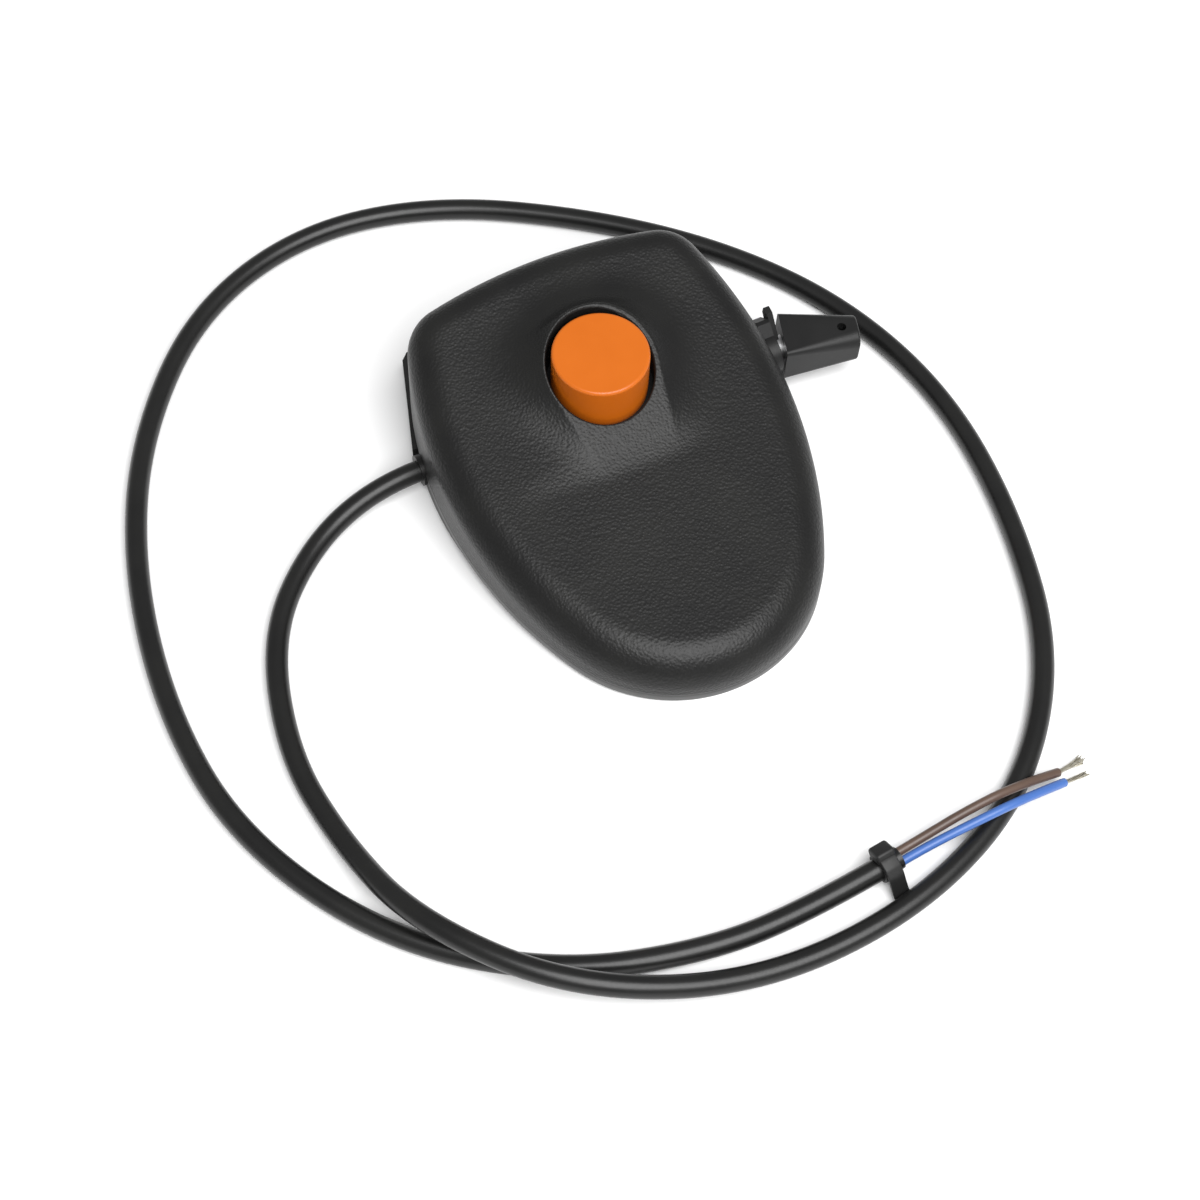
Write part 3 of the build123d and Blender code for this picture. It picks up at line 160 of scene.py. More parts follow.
STRAND_RADIUS = 0.17
STRAND_RING = 0.46             # ring of wires about the middle one
STRAND_TWIST = 2.4             # radians along the bundle
STRAND_STEPS = 14
STRAND_LOWEST = 0.2            # lowest centre of a wire over the floor

# Cable tie, in the plane square to the jacket: first number towards the viewer, second up.
TIE_INSET = 4.4                # its middle behind the jacket's end
TIE_WIDTH = 4.8
TIE_THICK = 1.0
TIE_ROUND = 0.3                # rounding of the strap's long edges
TIE_HEAD = (5.4, 3.6, 5.8)
TIE_HEAD_PLACE = (-2.0, 4.3)
TIE_HEAD_TURN = 28.0
TIE_HEAD_ROUND = 0.9
TIE_TAIL = ((-1.6, 4.9), (0.8, 5.0), (3.0, 4.2), (4.9, 2.3), (6.2, -0.2), (7.4, -2.4), (8.7, -4.0))

SPRING_LOW = 22.0              # coil under the button, in Z
SPRING_HIGH = 40.8
SPRING_RADIUS = 6.8
SPRING_WIRE = 0.8
SPRING_TURNS = 7

# Steps of the cover's mesh.
AROUND = 420                   # rays about the button's axis
ARC_STEPS = 400
WELL_RINGS = 12
TOP_RINGS = 96
TOP_CROWDING = 1.35            # the top's rings stand closer together near the well
ROUND_RINGS = 18
GROOVE_SHAPE = ((0.5, 0.0), (0.25, 0.3), (0.0, 1.0), (-0.25, 1.0), (-0.5, 0.3), (-0.75, 0.0))

# Scales of the materials' fine structure.
MOTTLE_SCALE = 60.0
SPECK_SCALE = 1400.0
METAL_SCALE = 500.0
FLOOR_SCALE = 3.0
SPECK_DEPTH = 0.05
GRAIN_DEPTH = 0.12
METAL_GLOSS_RANGE = 0.08


# ---------------------------------------------------------------- frame helpers
def at(points):
    """Housing-frame points in mm as row-frame points in metres, as an array."""
    p = np.asarray(points, float)
    c = cos(radians(TILT))
    s = sin(radians(TILT))
    x = p[..., 0] + HOME[0]
    y = p[..., 1] * c - p[..., 2] * s + HOME[1]
    z = p[..., 1] * s + p[..., 2] * c
    return np.stack([x, y, z], -1) * MM


def row(point):
    """A row-frame point in mm as a vector in metres."""
    return Vector(point) * MM


# ---------------------------------------------------------------- camera
def make_camera():
    eye = Vector(CAMERA_PLACE)
    data = bpy.data.cameras.new("camera")
    data.lens = CAMERA_LENS
    data.sensor_width = CAMERA_SENSOR
    data.clip_end = 20.0
    camera = bpy.data.objects.new("camera", data)
    camera.location = eye
    camera.rotation_mode = "QUATERNION"
    camera.rotation_quaternion = (Vector(CAMERA_TARGET) - eye).to_track_quat("-Z", "Y")
    bpy.context.collection.objects.link(camera)
    bpy.context.scene.camera = camera


# ---------------------------------------------------------------- cords
def smooth_curve(name, route, radius, steps):
    """An object with one smooth open spline that has the route's points as control points."""
    curve = bpy.data.curves.new(name, "CURVE")
    curve.dimensions = "3D"
    spline = curve.splines.new("NURBS")
    spline.points.add(len(route) - 1)
    for point, place in zip(spline.points, route):
        point.co = (*row(place), 1.0)
        point.radius = radius
    spline.order_u = 3
    spline.use_endpoint_u = True
    spline.resolution_u = steps
    holder = bpy.data.objects.new(name, curve)
    bpy.context.collection.objects.link(holder)
    return holder


def make_cord(name, route, diameter, node):
    """A free cord: the points carry its radius, which keeps the curve's own box true."""
    cord = smooth_curve(name, route, diameter / 2 * MM, 14)
    cord.data.bevel_depth = 1.0
    cord.data.bevel_resolution = 10
    cord.data.use_fill_caps = True
    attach(cord, "housing")
    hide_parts(node)
    row(route[0])
    return cord


def centreline(route, steps=8):
    """Points along a cord's own spline, read from a curve with no bevel, in metres."""
    holder = smooth_curve("centreline", route, MM, steps)
    curve = holder.data
    mesh = bpy.data.meshes.new_from_object(holder)
    points = [v.co.copy() for v in mesh.vertices]
    bpy.data.objects.remove(holder)
    bpy.data.curves.remove(curve)
    bpy.data.meshes.remove(mesh)
    return points


# ---------------------------------------------------------------- mesh helpers
def make_mesh(name, vertices, faces, smooth=True):
    mesh = bpy.data.meshes.new(name)
    mesh.from_pydata([tuple(v) for v in vertices], [], faces)
    mesh.validate()
    for polygon in mesh.polygons:
        polygon.use_smooth = smooth
    mesh.update()
    piece = bpy.data.objects.new(name, mesh)
    bpy.context.collection.objects.link(piece)
    return piece


def tube_mesh(paths, radius, sides=10):
    """Vertices and faces of round wires along paths of points, with flat ends."""
    vertices = []
    faces = []
    for path in paths:
        start = len(vertices)
        side = None
        for k, point in enumerate(path):
            ahead = path[min(k + 1, len(path) - 1)] - path[max(k - 1, 0)]
            ahead.normalize()
            if side is None:
                side = ahead.cross(Vector((0, 0, 1))).normalized()
            side = (side - ahead * side.dot(ahead)).normalized()
            up = ahead.cross(side)
            for j in range(sides):
                turn = 2 * pi * j / sides
                vertices.append(point + (side * cos(turn) + up * sin(turn)) * radius)
        for k in range(len(path) - 1):
            for j in range(sides):
                a = start + k * sides + j
                b = start + k * sides + (j + 1) % sides
                faces.append((a, b, b + sides, a + sides))
        last = start + (len(path) - 1) * sides
        faces.append(tuple(start + j for j in reversed(range(sides))))
        faces.append(tuple(last + j for j in range(sides)))
    return vertices, faces


# ---------------------------------------------------------------- cover
def outline_arcs():
    """The outline's arcs as centre, radius, first and last bearing, anticlockwise."""
    angle = radians(SIDE_ANGLE)
    reach = SIDE_RADIUS - TIP_RADIUS
    side = (-reach * cos(angle), TIP_RADIUS + reach * sin(angle))
    back = (0.0, LENGTH - BACK_RADIUS)
    side_reach = SIDE_RADIUS - CORNER_RADIUS
    back_reach = BACK_RADIUS - CORNER_RADIUS
    dx = back[0] - side[0]
    dy = back[1] - side[1]
    span = hypot(dx, dy)
    along = (side_reach ** 2 - back_reach ** 2 + span ** 2) / (2 * span)
    off = sqrt(side_reach ** 2 - along ** 2)
    corner = (side[0] + (along * dx - off * dy) / span, side[1] + (along * dy + off * dx) / span)
    turn = np.arctan2(corner[1] - side[1], corner[0] - side[0])
    corner_turn = np.arctan2(corner[1] - back[1], corner[0] - back[0])
    return [
        ((0.0, TIP_RADIUS), TIP_RADIUS, pi + angle, 2 * pi - angle),
        (side, SIDE_RADIUS, -angle, turn),
        (corner, CORNER_RADIUS, turn, corner_turn),
        (back, BACK_RADIUS, corner_turn, pi - corner_turn),
        ((-corner[0], corner[1]), CORNER_RADIUS, pi - corner_turn, pi - turn),
        ((-side[0], side[1]), SIDE_RADIUS, pi - turn, pi + angle),
    ]


def outline_points():
    """Points and inward normals of the outline on rays from the button's axis."""
    places = []
    normals = []
    for centre, radius, first, last in outline_arcs():
        bearings = np.linspace(first, last, ARC_STEPS)
        out = np.stack([np.cos(bearings), np.sin(bearings)], -1)
        places.append(np.array(centre) + radius * out)
        normals.append(-out)
    places = np.concatenate(places)
    normals = np.concatenate(normals)
    bearing = np.arctan2(places[:, 1] - BUTTON_Y, places[:, 0]) % (2 * pi)
    order = np.argsort(bearing)
    wanted = np.arange(AROUND) * 2 * pi / AROUND
    columns = [np.interp(wanted, bearing[order], column[order], period=2 * pi)
               for column in (*places.T, *normals.T)]
    found = np.stack(columns, -1)
    inward = found[:, 2:] / np.linalg.norm(found[:, 2:], axis=1, keepdims=True)
    return found[:, :2], inward, wanted


def top_height(y):
    share = y / LENGTH
    rise = (BACK_HEIGHT - TIP_HEIGHT) * share
    return TIP_HEIGHT + rise - 4 * TOP_SAG * share * (1 - share)


def soft_max(a, b, reach):
    blend = np.maximum(reach - np.abs(a - b), 0) / reach
    return np.maximum(a, b) + blend ** 2 * reach / 4


def smooth_step(value, span):
    share = np.clip((value - span[0]) / (span[1] - span[0]), 0, 1)
    return share * share * (3 - 2 * share)


def boss_rise(x, y):
    """How far the boss and its flanks stand above the cover's hollow top."""
    apron = APRON_RISE * smooth_step(y, APRON_FRONT) * (1 - smooth_step(y, APRON_BACK))
    apron *= 1 - smooth_step(np.abs(x - APRON_X), APRON_SIDE)
    pitch = (FACET_HIGH - FACET_LOW) / (2 * WELL_RADIUS)
    crest = BUTTON_Y + WELL_RADIUS + FACET_CREST
    crest_height = FACET_LOW + pitch * (crest - BUTTON_Y + WELL_RADIUS)
    front = FACET_LOW + pitch * (y - BUTTON_Y + WELL_RADIUS)
    fall = (crest_height - FACET_HIGH + REAR_DROP) / (LENGTH - crest)
    rear = crest_height - fall * (y - crest)
    facet = -soft_max(-front, -rear, FACET_EDGE)
    rise = soft_max(facet - top_height(y) - apron, np.zeros_like(y), FACET_FOOT)
    # distance outside the boss's plan: a large circle drawn in to a small one at the nose
    span = BUTTON_Y - NOSE_Y
    lean = (BOSS_RADIUS - NOSE_RADIUS) / span
    across = sqrt(1 - lean * lean)
    side = np.abs(x - BOSS_X)
    down = BUTTON_Y - y
    k = across * down - lean * side
    beside = across * side + lean * down - BOSS_RADIUS
    away = np.where(k < 0, np.hypot(side, down) - BOSS_RADIUS, beside)
    away = np.where(k > across * span, np.hypot(side, down - span) - NOSE_RADIUS, away)
    away = soft_max(away, np.zeros_like(away), FACET_EDGE)
    share = np.clip(1 - away / FLANK_REACH, 0, 1)
    return apron + rise * share ** FLANK_POWER


def cover_rows():
    """Rings of points that go once round the cover's section, and each ring's finish."""
    edge, inward, bearing = outline_points()
    ray = np.stack([np.cos(bearing), np.sin(bearing)], -1)
    axis = np.array([0.0, BUTTON_Y])
    rows = []

    def surface(plan, drop=0.0):
        height = top_height(plan[:, 1]) + boss_rise(plan[:, 0], plan[:, 1])
        return np.column_stack([plan, height - drop])

    rim_plan = axis + ray * (WELL_RADIUS + WELL_ROUND)
    rim = surface(rim_plan)
    for share in np.linspace(0, 1, WELL_RINGS):
        low = COLLAR_BOTTOM * (1 - share) + (rim[:, 2] - WELL_ROUND) * share
        rows.append((np.column_stack([axis + ray * WELL_RADIUS, low]), "grain"))
    for turn in np.linspace(0, pi / 2, 6)[1:-1]:
        plan = axis + ray * (WELL_RADIUS + WELL_ROUND * (1 - cos(turn)))
        rows.append((surface(plan, WELL_ROUND * (1 - sin(turn))), "grain"))
    shoulder = edge + inward * TOP_ROUND
    for share in np.linspace(0, 1, TOP_RINGS)[:-1] ** TOP_CROWDING:
        rows.append((surface(rim_plan * (1 - share) + shoulder * share), "grain"))
    for turn in np.linspace(0, pi / 2, ROUND_RINGS):
        plan = edge + inward * TOP_ROUND * (1 - sin(turn))
        rows.append((surface(plan, TOP_ROUND * (1 - cos(turn))), "grain"))
    skirt = surface(edge, TOP_ROUND)[:, 2]
    skirt_foot = BAND_HEIGHT + GROOVE_SHAPE[0][0]
    for share in np.linspace(1, 0, 14)[1:-1]:
        height = skirt_foot + (skirt - skirt_foot) * share
        rows.append((np.column_stack([edge, height]), "grain"))
    # The band rows take the cover_band finish, whose lighter grey is painted reflection of the white floor.
    for rise, depth in GROOVE_SHAPE:
        plan = edge + inward * BAND_GROOVE * depth
        rows.append((np.column_stack([plan, np.full(AROUND, BAND_HEIGHT + rise)]), "band"))
    for height in (1.6, EDGE_ROUND):
        rows.append((np.column_stack([edge, np.full(AROUND, height)]), "band"))
    for turn in (30, 60, 90):
        plan = edge + inward * EDGE_ROUND * (1 - cos(radians(turn)))
        height = np.full(AROUND, EDGE_ROUND * (1 - sin(radians(turn))))
        rows.append((np.column_stack([plan, height]), "band"))
    inner = edge + inward * WALL
    roof = top_height(inner[:, 1]) - WALL
    rows.append((np.column_stack([inner, np.zeros(AROUND)]), "band"))
    inner_round = TOP_ROUND - WALL
    for share in (0.05, 0.5, 0.95):
        rows.append((np.column_stack([inner, (roof - inner_round) * share]), "grain"))
    for turn in np.linspace(pi / 2, 0, 9):
        plan = edge + inward * (WALL + inner_round * (1 - sin(turn)))
        height = top_height(plan[:, 1]) - WALL - inner_round * (1 - cos(turn))
        rows.append((np.column_stack([plan, height]), "grain"))
    collar = axis + ray * COLLAR_RADIUS
    for share in np.linspace(0, 1, 14)[1:]:
        plan = shoulder * (1 - share) + collar * share
        rows.append((np.column_stack([plan, top_height(plan[:, 1]) - WALL]), "grain"))
    rows.append((np.column_stack([collar, np.full(AROUND, COLLAR_BOTTOM)]), "grain"))
    return rows


def cut_bore(piece, place, radius, span):
    """Cut a bore along X through the cover's side wall."""
    start, end = span
    mesh = bpy.data.meshes.new("bore")
    shape = bmesh.new()
    bmesh.ops.create_cone(shape, cap_ends=True, segments=64, radius1=radius * MM,
                          radius2=radius * MM, depth=(end - start) * MM)
    shape.to_mesh(mesh)
    shape.free()
    tool = bpy.data.objects.new("bore", mesh)
    bpy.context.collection.objects.link(tool)
    middle = at(((start + end) / 2, *place))
    tool.matrix_world = Matrix.Translation(middle) @ Matrix.Rotation(pi / 2, 4, "Y")
    cut = piece.modifiers.new("bore", "BOOLEAN")
    cut.operation = "DIFFERENCE"
    cut.solver = "EXACT"
    cut.object = tool
    bpy.context.view_layer.update()
    shown = piece.evaluated_get(bpy.context.evaluated_depsgraph_get())
    result = bpy.data.meshes.new_from_object(shown)
    piece.modifiers.clear()
    piece.data = result
    bpy.data.objects.remove(tool)


def make_cover():
    rows = cover_rows()
    vertices = np.concatenate([at(points) for points, _ in rows])
    count = len(rows)
    faces = []
    finishes = []
    for k in range(count):
        below = (k + 1) % count
        for j in range(AROUND):
            beside = (j + 1) % AROUND
            faces.append((k * AROUND + j, below * AROUND + j,
                          below * AROUND + beside, k * AROUND + beside))
            finishes.append(1 if rows[k][1] == "band" and rows[below][1] == "band" else 0)
    cover = make_mesh("cover_shell", vertices, faces)
    cover.data.materials.append(materials["cover"])
    cover.data.materials.append(materials["cover_band"])
    cover.data.polygons.foreach_set("material_index", finishes)
    cut_bore(cover, SHAFT_PLACE, BUSH_BORE, BUSH_BORE_SPAN)
    cut_bore(cover, CORD_PLACE, CORD_BUSH_BORE, CORD_BORE_SPAN)
    cover.data.set_sharp_from_angle(angle=radians(42))
    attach(cover, "housing")
    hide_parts("upper_cover")


def make_pillars():
    """Screw pillars inside the cover, down to the lower housing's seats."""
    sides = 40
    screw_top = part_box("saddle_screws")[1].z / MM
    for number, (x, y) in enumerate(COVER_SCREWS + SADDLE_SCREWS):
        foot = PILLAR_FOOT
        if number >= len(COVER_SCREWS):
            foot = screw_top - REAR_SCREW_LENGTH - y * sin(radians(TILT))
        head = float(top_height(y)) - WALL - PILLAR_CLEARANCE
        rings = ((PILLAR_RADIUS, head), (PILLAR_RADIUS, foot), (PILLAR_BORE, foot), (PILLAR_BORE, head))
        vertices = []
        for radius, height in rings:
            for j in range(sides):
                turn = 2 * pi * j / sides
                vertices.append((x + radius * cos(turn), y + radius * sin(turn), height))
        faces = []
        for k in range(len(rings)):
            for j in range(sides):
                beside = (j + 1) % sides
                below = (k + 1) % len(rings)
                faces.append((k * sides + j, k * sides + beside, below * sides + beside, below * sides + j))
        pillar = make_mesh(f"screw_pillar_{number + 1}", at(vertices), faces)
        pillar.data.set_sharp_from_angle(angle=radians(40))
        pillar.data.materials.append(materials["cover"])
        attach(pillar, "housing")


# ---------------------------------------------------------------- strands
def make_strands(name, route, end, node, wires, splay, seed):
    """A bundle of fine bare wires that leaves the core's end, lightly twisted and splayed."""
    rng = np.random.default_rng(seed)
    start = row(route[-1])
    line = centreline(route)
    ahead = (line[-1] - line[-2]).normalized()
    tip = row(end)
    across = ahead.cross(Vector((0, 0, 1))).normalized()
    up = across.cross(ahead).normalized()
    paths = []
    for number in range(wires):
        turn = 2 * pi * number / (wires - 1)
        ring = 0.0 if number == 0 else STRAND_RING * MM
        spread = splay * MM * (0.5 + rng.random())
        reach = 1.0 - 0.14 * rng.random()
        path = []
        for k in range(STRAND_STEPS + 1):
            share = k / STRAND_STEPS
            base = start + ahead * (2.0 * MM * share) * (1 - share)
            base = base.lerp(tip, share * reach)
            twist = turn + STRAND_TWIST * share
            radius = ring + spread * share ** 2 * (0 if number == 0 else 1)
            offset = across * cos(twist) * radius + up * sin(twist) * radius * 0.6
            point = base + offset
            point.z = max(point.z, STRAND_LOWEST * MM)
            path.append(point)
        paths.append(path)
    vertices, faces = tube_mesh(paths, STRAND_RADIUS * MM, 8)
    bundle = make_mesh(name, vertices, faces)
    bundle.data.materials.append(materials["strands"])
    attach(bundle, "housing")
    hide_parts(node)
    return bundle


# ---------------------------------------------------------------- tie and spring
def strap_mesh(line, thick, width, to_space, closed):
    """Vertices and faces of a flat strap along 2-D points, with rounded long edges."""
    corner = TIE_ROUND
    section = []
    for number, (across, along) in enumerate(((1, 1), (-1, 1), (-1, -1), (1, -1))):
        for k in range(4):
            turn = number * pi / 2 + k * pi / 6
            section.append((across * (thick / 2 - corner) + corner * cos(turn),
                            along * (width / 2 - corner) + corner * sin(turn)))
    count = len(line)
    size = len(section)
    vertices = []
    for k in range(count):
        before = line[(k - 1) % count if closed else max(k - 1, 0)]
        after = line[(k + 1) % count if closed else min(k + 1, count - 1)]
        span = hypot(after[0] - before[0], after[1] - before[1])
        normal = ((after[1] - before[1]) / span, (before[0] - after[0]) / span)
        for out, along in section:
            vertices.append(to_space(line[k][0] + normal[0] * out, line[k][1] + normal[1] * out, along))
    faces = []
    for k in range(count if closed else count - 1):
        for j in range(size):
            beside = (j + 1) % size
            ahead = (k + 1) % count
            faces.append((k * size + j, k * size + beside, ahead * size + beside, ahead * size + j))
    if not closed:
        faces.append(tuple(reversed(range(size))))
        faces.append(tuple((count - 1) * size + j for j in range(size)))
    return vertices, faces


def add_tie_head(tie, place):
    """Add the rounded head to the tie's mesh; place turns a unit cube into its block."""
    shape = bmesh.new()
    shape.from_mesh(tie.data)
    corners = bmesh.ops.create_cube(shape, size=1.0, matrix=place)["verts"]
    edges = list({edge for corner in corners for edge in corner.link_edges})
    bmesh.ops.bevel(shape, geom=edges, offset=TIE_HEAD_ROUND * MM, segments=4,
                    affect="EDGES", profile=0.5)
    bmesh.ops.recalc_face_normals(shape, faces=shape.faces)
    for face in shape.faces:
        face.smooth = True
    shape.to_mesh(tie.data)
    shape.free()


def make_tie():
    """Cable tie: a band round the jacket, a small rounded head and a bent tail."""
    line = centreline(JACKET_ROUTE)
    ahead = (line[-1] - line[-2]).normalized()
    near = ahead.cross(Vector((0, 0, 1))).normalized()
    up = near.cross(ahead).normalized()
    middle = line[-1] - ahead * TIE_INSET * MM

    def to_space(side, rise, along):
        return middle + (near * side + up * rise + ahead * along) * MM

    radius = CORD_DIAMETER / 2 + TIE_THICK / 2
    ring = [(radius * cos(turn), radius * sin(turn)) for turn in np.linspace(0, 2 * pi, 49)[:-1]]
    places = np.linspace(0, len(TIE_TAIL) - 1, 31)
    tail = list(zip(*(np.interp(places, range(len(TIE_TAIL)), column) for column in zip(*TIE_TAIL))))
    vertices, faces = strap_mesh(ring, TIE_THICK, TIE_WIDTH, to_space, True)
    more, tail_faces = strap_mesh(tail, TIE_THICK, TIE_WIDTH, to_space, False)
    faces += [tuple(index + len(vertices) for index in face) for face in tail_faces]
    vertices += more
    tie = make_mesh("tie_strap", vertices, faces)
    turn = radians(TIE_HEAD_TURN)
    across = near * cos(turn) + up * sin(turn)
    rise = up * cos(turn) - near * sin(turn)
    axes = Matrix((across, rise, ahead)).transposed().to_4x4()
    scale = Matrix.Diagonal((*(Vector(TIE_HEAD) * MM), 1.0))
    add_tie_head(tie, Matrix.Translation(to_space(*TIE_HEAD_PLACE, 0)) @ axes @ scale)
    tie.data.set_sharp_from_angle(angle=radians(50))
    tie.data.materials.append(materials["saddle"])
    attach(tie, "housing")
    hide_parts("cable_tie")
    return tie


def make_button_spring():
    """The button's coil with closed ends."""
    share = np.linspace(0, 1, SPRING_TURNS * 40 + 1)
    turn = 2 * pi * SPRING_TURNS * share
    low = SPRING_LOW + SPRING_WIRE / 2
    high = SPRING_HIGH - SPRING_WIRE / 2
    height = low + (high - low) * smooth_step(share, (0, 1))
    points = np.column_stack([SPRING_RADIUS * np.cos(turn), BUTTON_Y + SPRING_RADIUS * np.sin(turn), height])
    path = [Vector(point) for point in at(points)]
    vertices, faces = tube_mesh([path], SPRING_WIRE / 2 * MM, 12)
    spring = make_mesh("button_coil", vertices, faces)
    spring.data.set_sharp_from_angle(angle=radians(60))
    spring.data.materials.append(materials["spring_steel"])
    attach(spring, "housing")
    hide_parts("button_spring")
    tuple(at((0.0, BUTTON_Y, SPRING_LOW)))
    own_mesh(spring)


# ---------------------------------------------------------------- materials
def new_material(name):
    material = bpy.data.materials.new(name)
    material.use_nodes = True
    nodes = material.node_tree.nodes
    return material, nodes, material.node_tree.links, nodes["Principled BSDF"]


def noise(nodes, links, coordinates, scale, detail=3.0):
    texture = nodes.new("ShaderNodeTexNoise")
    texture.inputs["Scale"].default_value = scale
    texture.inputs["Detail"].default_value = detail
    links.new(coordinates, texture.inputs["Vector"])
    return texture.outputs["Fac"]


def mottled(nodes, links, fac, dark, light, low=0.35, high=0.65):
    """Colours between two tones by a noise."""
    ramp = nodes.new("ShaderNodeValToRGB")
    ramp.color_ramp.elements[0].position = low
    ramp.color_ramp.elements[1].position = high
    ramp.color_ramp.elements[0].color = (*dark, 1)
    ramp.color_ramp.elements[1].color = (*light, 1)
    links.new(fac, ramp.inputs["Fac"])
    return ramp.outputs["Color"]


def roughness_range(nodes, links, fac, low, high):
    spread = nodes.new("ShaderNodeMapRange")
    spread.inputs["To Min"].default_value = low
    spread.inputs["To Max"].default_value = high
    links.new(fac, spread.inputs["Value"])
    return spread.outputs["Result"]


def plastic(name, dark, light, roughness, grain=0.0, grain_size=1.0, fine=0.05, specular=0.5):
    """Moulded plastic: slight mottle, uneven gloss and, where asked, a leather-like grain."""
    material, nodes, links, shader = new_material(name)
    coordinates = nodes.new("ShaderNodeTexCoord").outputs["Object"]
    cloud = noise(nodes, links, coordinates, MOTTLE_SCALE)
    links.new(mottled(nodes, links, cloud, dark, light), shader.inputs["Base Color"])
    speck = noise(nodes, links, coordinates, SPECK_SCALE, 2.0)
    rough = roughness_range(nodes, links, speck, roughness - fine, roughness + fine)
    links.new(rough, shader.inputs["Roughness"])
    shader.inputs["Specular IOR Level"].default_value = specular
    bump = nodes.new("ShaderNodeBump")
    bump.inputs["Distance"].default_value = SPECK_DEPTH * MM
    bump.inputs["Strength"].default_value = 0.25
    links.new(speck, bump.inputs["Height"])
    last = bump
    if grain:
        cells = nodes.new("ShaderNodeTexVoronoi")
        cells.feature = "SMOOTH_F1"
        cells.inputs["Scale"].default_value = 1 / (grain_size * MM)
        cells.inputs["Randomness"].default_value = 1.0
        links.new(coordinates, cells.inputs["Vector"])
        pebbles = nodes.new("ShaderNodeBump")
        pebbles.invert = True
        pebbles.inputs["Distance"].default_value = GRAIN_DEPTH * MM
        pebbles.inputs["Strength"].default_value = grain
        links.new(cells.outputs["Distance"], pebbles.inputs["Height"])
        links.new(bump.outputs["Normal"], pebbles.inputs["Normal"])
        last = pebbles
    links.new(last.outputs["Normal"], shader.inputs["Normal"])
    return material


def metal(name, dark, light, roughness):
    material, nodes, links, shader = new_material(name)
    coordinates = nodes.new("ShaderNodeTexCoord").outputs["Object"]
    cloud = noise(nodes, links, coordinates, METAL_SCALE)
    links.new(mottled(nodes, links, cloud, dark, light), shader.inputs["Base Color"])
    rough = roughness_range(nodes, links, cloud, roughness - METAL_GLOSS_RANGE,
                            roughness + METAL_GLOSS_RANGE)
    links.new(rough, shader.inputs["Roughness"])
    shader.inputs["Metallic"].default_value = 1.0
    return material


def make_materials():
    return {
        "cover": plastic("cover_grain", (0.008, 0.008, 0.008), (0.011, 0.011, 0.0105), 0.4,
                         grain=1.0, grain_size=0.75, fine=0.08, specular=0.26),
        # Lower edge band: smooth, ungrained plastic, coloured lighter than the cover as painted reflection
        # of the white floor.
        "cover_band": plastic("cover_band", (0.045, 0.045, 0.045), (0.056, 0.056, 0.055), 0.4),
        "housing": plastic("housing_grey", (0.02, 0.02, 0.02), (0.028, 0.028, 0.027), 0.5,
                           grain=0.25, grain_size=0.8),
        "saddle": plastic("saddle_black", (0.004, 0.004, 0.004), (0.007, 0.007, 0.007), 0.55),
        "button": plastic("button_orange", (0.51, 0.112, 0.005), (0.54, 0.122, 0.007), 0.3, fine=0.03,
                          specular=0.35),
        "lever_plastic": plastic("lever_black", (0.006, 0.006, 0.006), (0.01, 0.01, 0.01), 0.44,
                                 specular=0.32),
        "inner_plastic": plastic("inner_white", (0.52, 0.5, 0.45), (0.58, 0.56, 0.51), 0.5),
        "switch_plastic": plastic("switch_black", (0.008, 0.008, 0.01), (0.014, 0.014, 0.016), 0.5),
        "plunger": plastic("plunger_red", (0.26, 0.014, 0.01), (0.32, 0.02, 0.014), 0.35),
        "steel": metal("zinc_steel", (0.5, 0.5, 0.51), (0.64, 0.64, 0.65), 0.34),
        "spring_steel": metal("spring_wire", (0.36, 0.36, 0.37), (0.46, 0.46, 0.46), 0.3),
        "brass": metal("brass", (0.6, 0.42, 0.16), (0.72, 0.53, 0.24), 0.28),
        "jacket": plastic("jacket_black", (0.005, 0.005, 0.005), (0.008, 0.008, 0.0076), 0.34, fine=0.06,
                          specular=0.4),
        "brown_insulation": plastic("insulation_brown", (0.075, 0.046, 0.034), (0.105, 0.066, 0.048), 0.38),
        "blue_insulation": plastic("insulation_blue", (0.045, 0.12, 0.37), (0.058, 0.145, 0.42), 0.35),
        "strands": metal("tinned_copper", (0.44, 0.41, 0.33), (0.6, 0.57, 0.48), 0.38),
    }


def finish_nodes():
    """Give each CAD node the finish of its slot in the record."""
    for part in frame["record"]["subparts"]:
        node = frame["nodes"][part["node"]]
        node.data.materials.clear()
        node.data.materials.append(materials[part["material_slot"]])


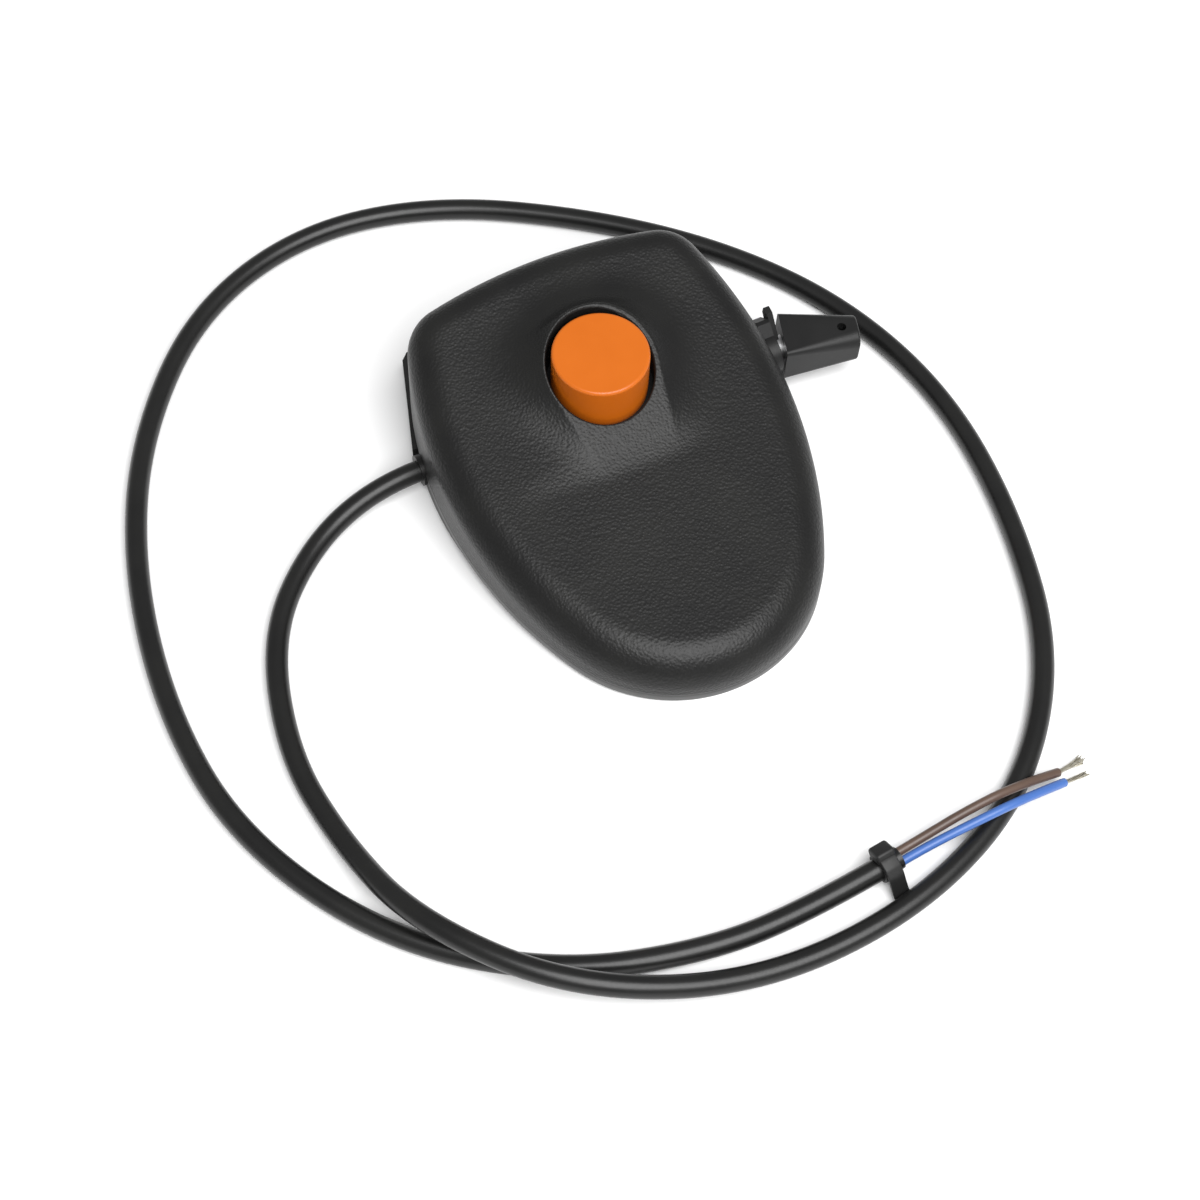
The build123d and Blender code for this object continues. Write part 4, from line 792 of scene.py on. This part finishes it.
# ---------------------------------------------------------------- stage
def area_light(name, place, target, size, power):
    data = bpy.data.lights.new(name, "AREA")
    data.shape = "RECTANGLE"
    data.size = size[0]
    data.size_y = size[1]
    data.energy = power
    lamp = bpy.data.objects.new(name, data)
    lamp.location = place
    lamp.rotation_mode = "QUATERNION"
    lamp.rotation_quaternion = (Vector(target) - Vector(place)).to_track_quat("-Z", "Y")
    bpy.context.collection.objects.link(lamp)


def make_stage():
    corners = [(x * FLOOR_HALF, y * FLOOR_HALF, 0.0) for x, y in ((-1, -1), (1, -1), (1, 1), (-1, 1))]
    floor = make_mesh("floor", corners, [(0, 1, 2, 3)], False)
    material, nodes, links, shader = new_material("floor_white")
    coordinates = nodes.new("ShaderNodeTexCoord").outputs["Object"]
    cloud = noise(nodes, links, coordinates, FLOOR_SCALE)
    links.new(mottled(nodes, links, cloud, (0.93, 0.93, 0.93), (0.95, 0.95, 0.95)),
              shader.inputs["Base Color"])
    shader.inputs["Roughness"].default_value = 0.9
    shader.inputs["Specular IOR Level"].default_value = 0.0
    floor.data.materials.append(material)
    world = bpy.data.worlds.new("studio")
    world.use_nodes = True
    background = world.node_tree.nodes["Background"]
    background.inputs["Color"].default_value = (1.0, 1.0, 1.0, 1.0)
    background.inputs["Strength"].default_value = ROOM_LIGHT
    bpy.context.scene.world = world
    area_light("softbox", LAMP_PLACE, LAMP_TARGET, LAMP_SIZE, LAMP_POWER)
    bpy.context.scene.view_settings.view_transform = "Standard"


# ---------------------------------------------------------------- scene
make_camera()
materials = make_materials()
finish_nodes()
brown_wires = make_strands("brown_wires", BROWN_ROUTE, BROWN_STRANDS_END, "brown_strands",
                           wires=12, splay=0.75, seed=3)
blue_wires = make_strands("blue_wires", BLUE_ROUTE, BLUE_STRANDS_END, "blue_strands",
                          wires=8, splay=0.2, seed=5)
tie = make_tie()
jacket = make_cord("lead_jacket", JACKET_ROUTE, CORD_DIAMETER,
                   "cord_jacket")
brown = make_cord("brown_lead", BROWN_ROUTE, CORE_DIAMETER,
                  "brown_core")
blue = make_cord("blue_lead", BLUE_ROUTE, CORE_DIAMETER,
                 "blue_core")
for cord, slot in ((jacket, "jacket"), (brown, "brown_insulation"), (blue, "blue_insulation")):
    cord.data.materials.append(materials[slot])
make_cover()
make_pillars()
make_button_spring()
make_stage()

bpy.context.view_layer.update()
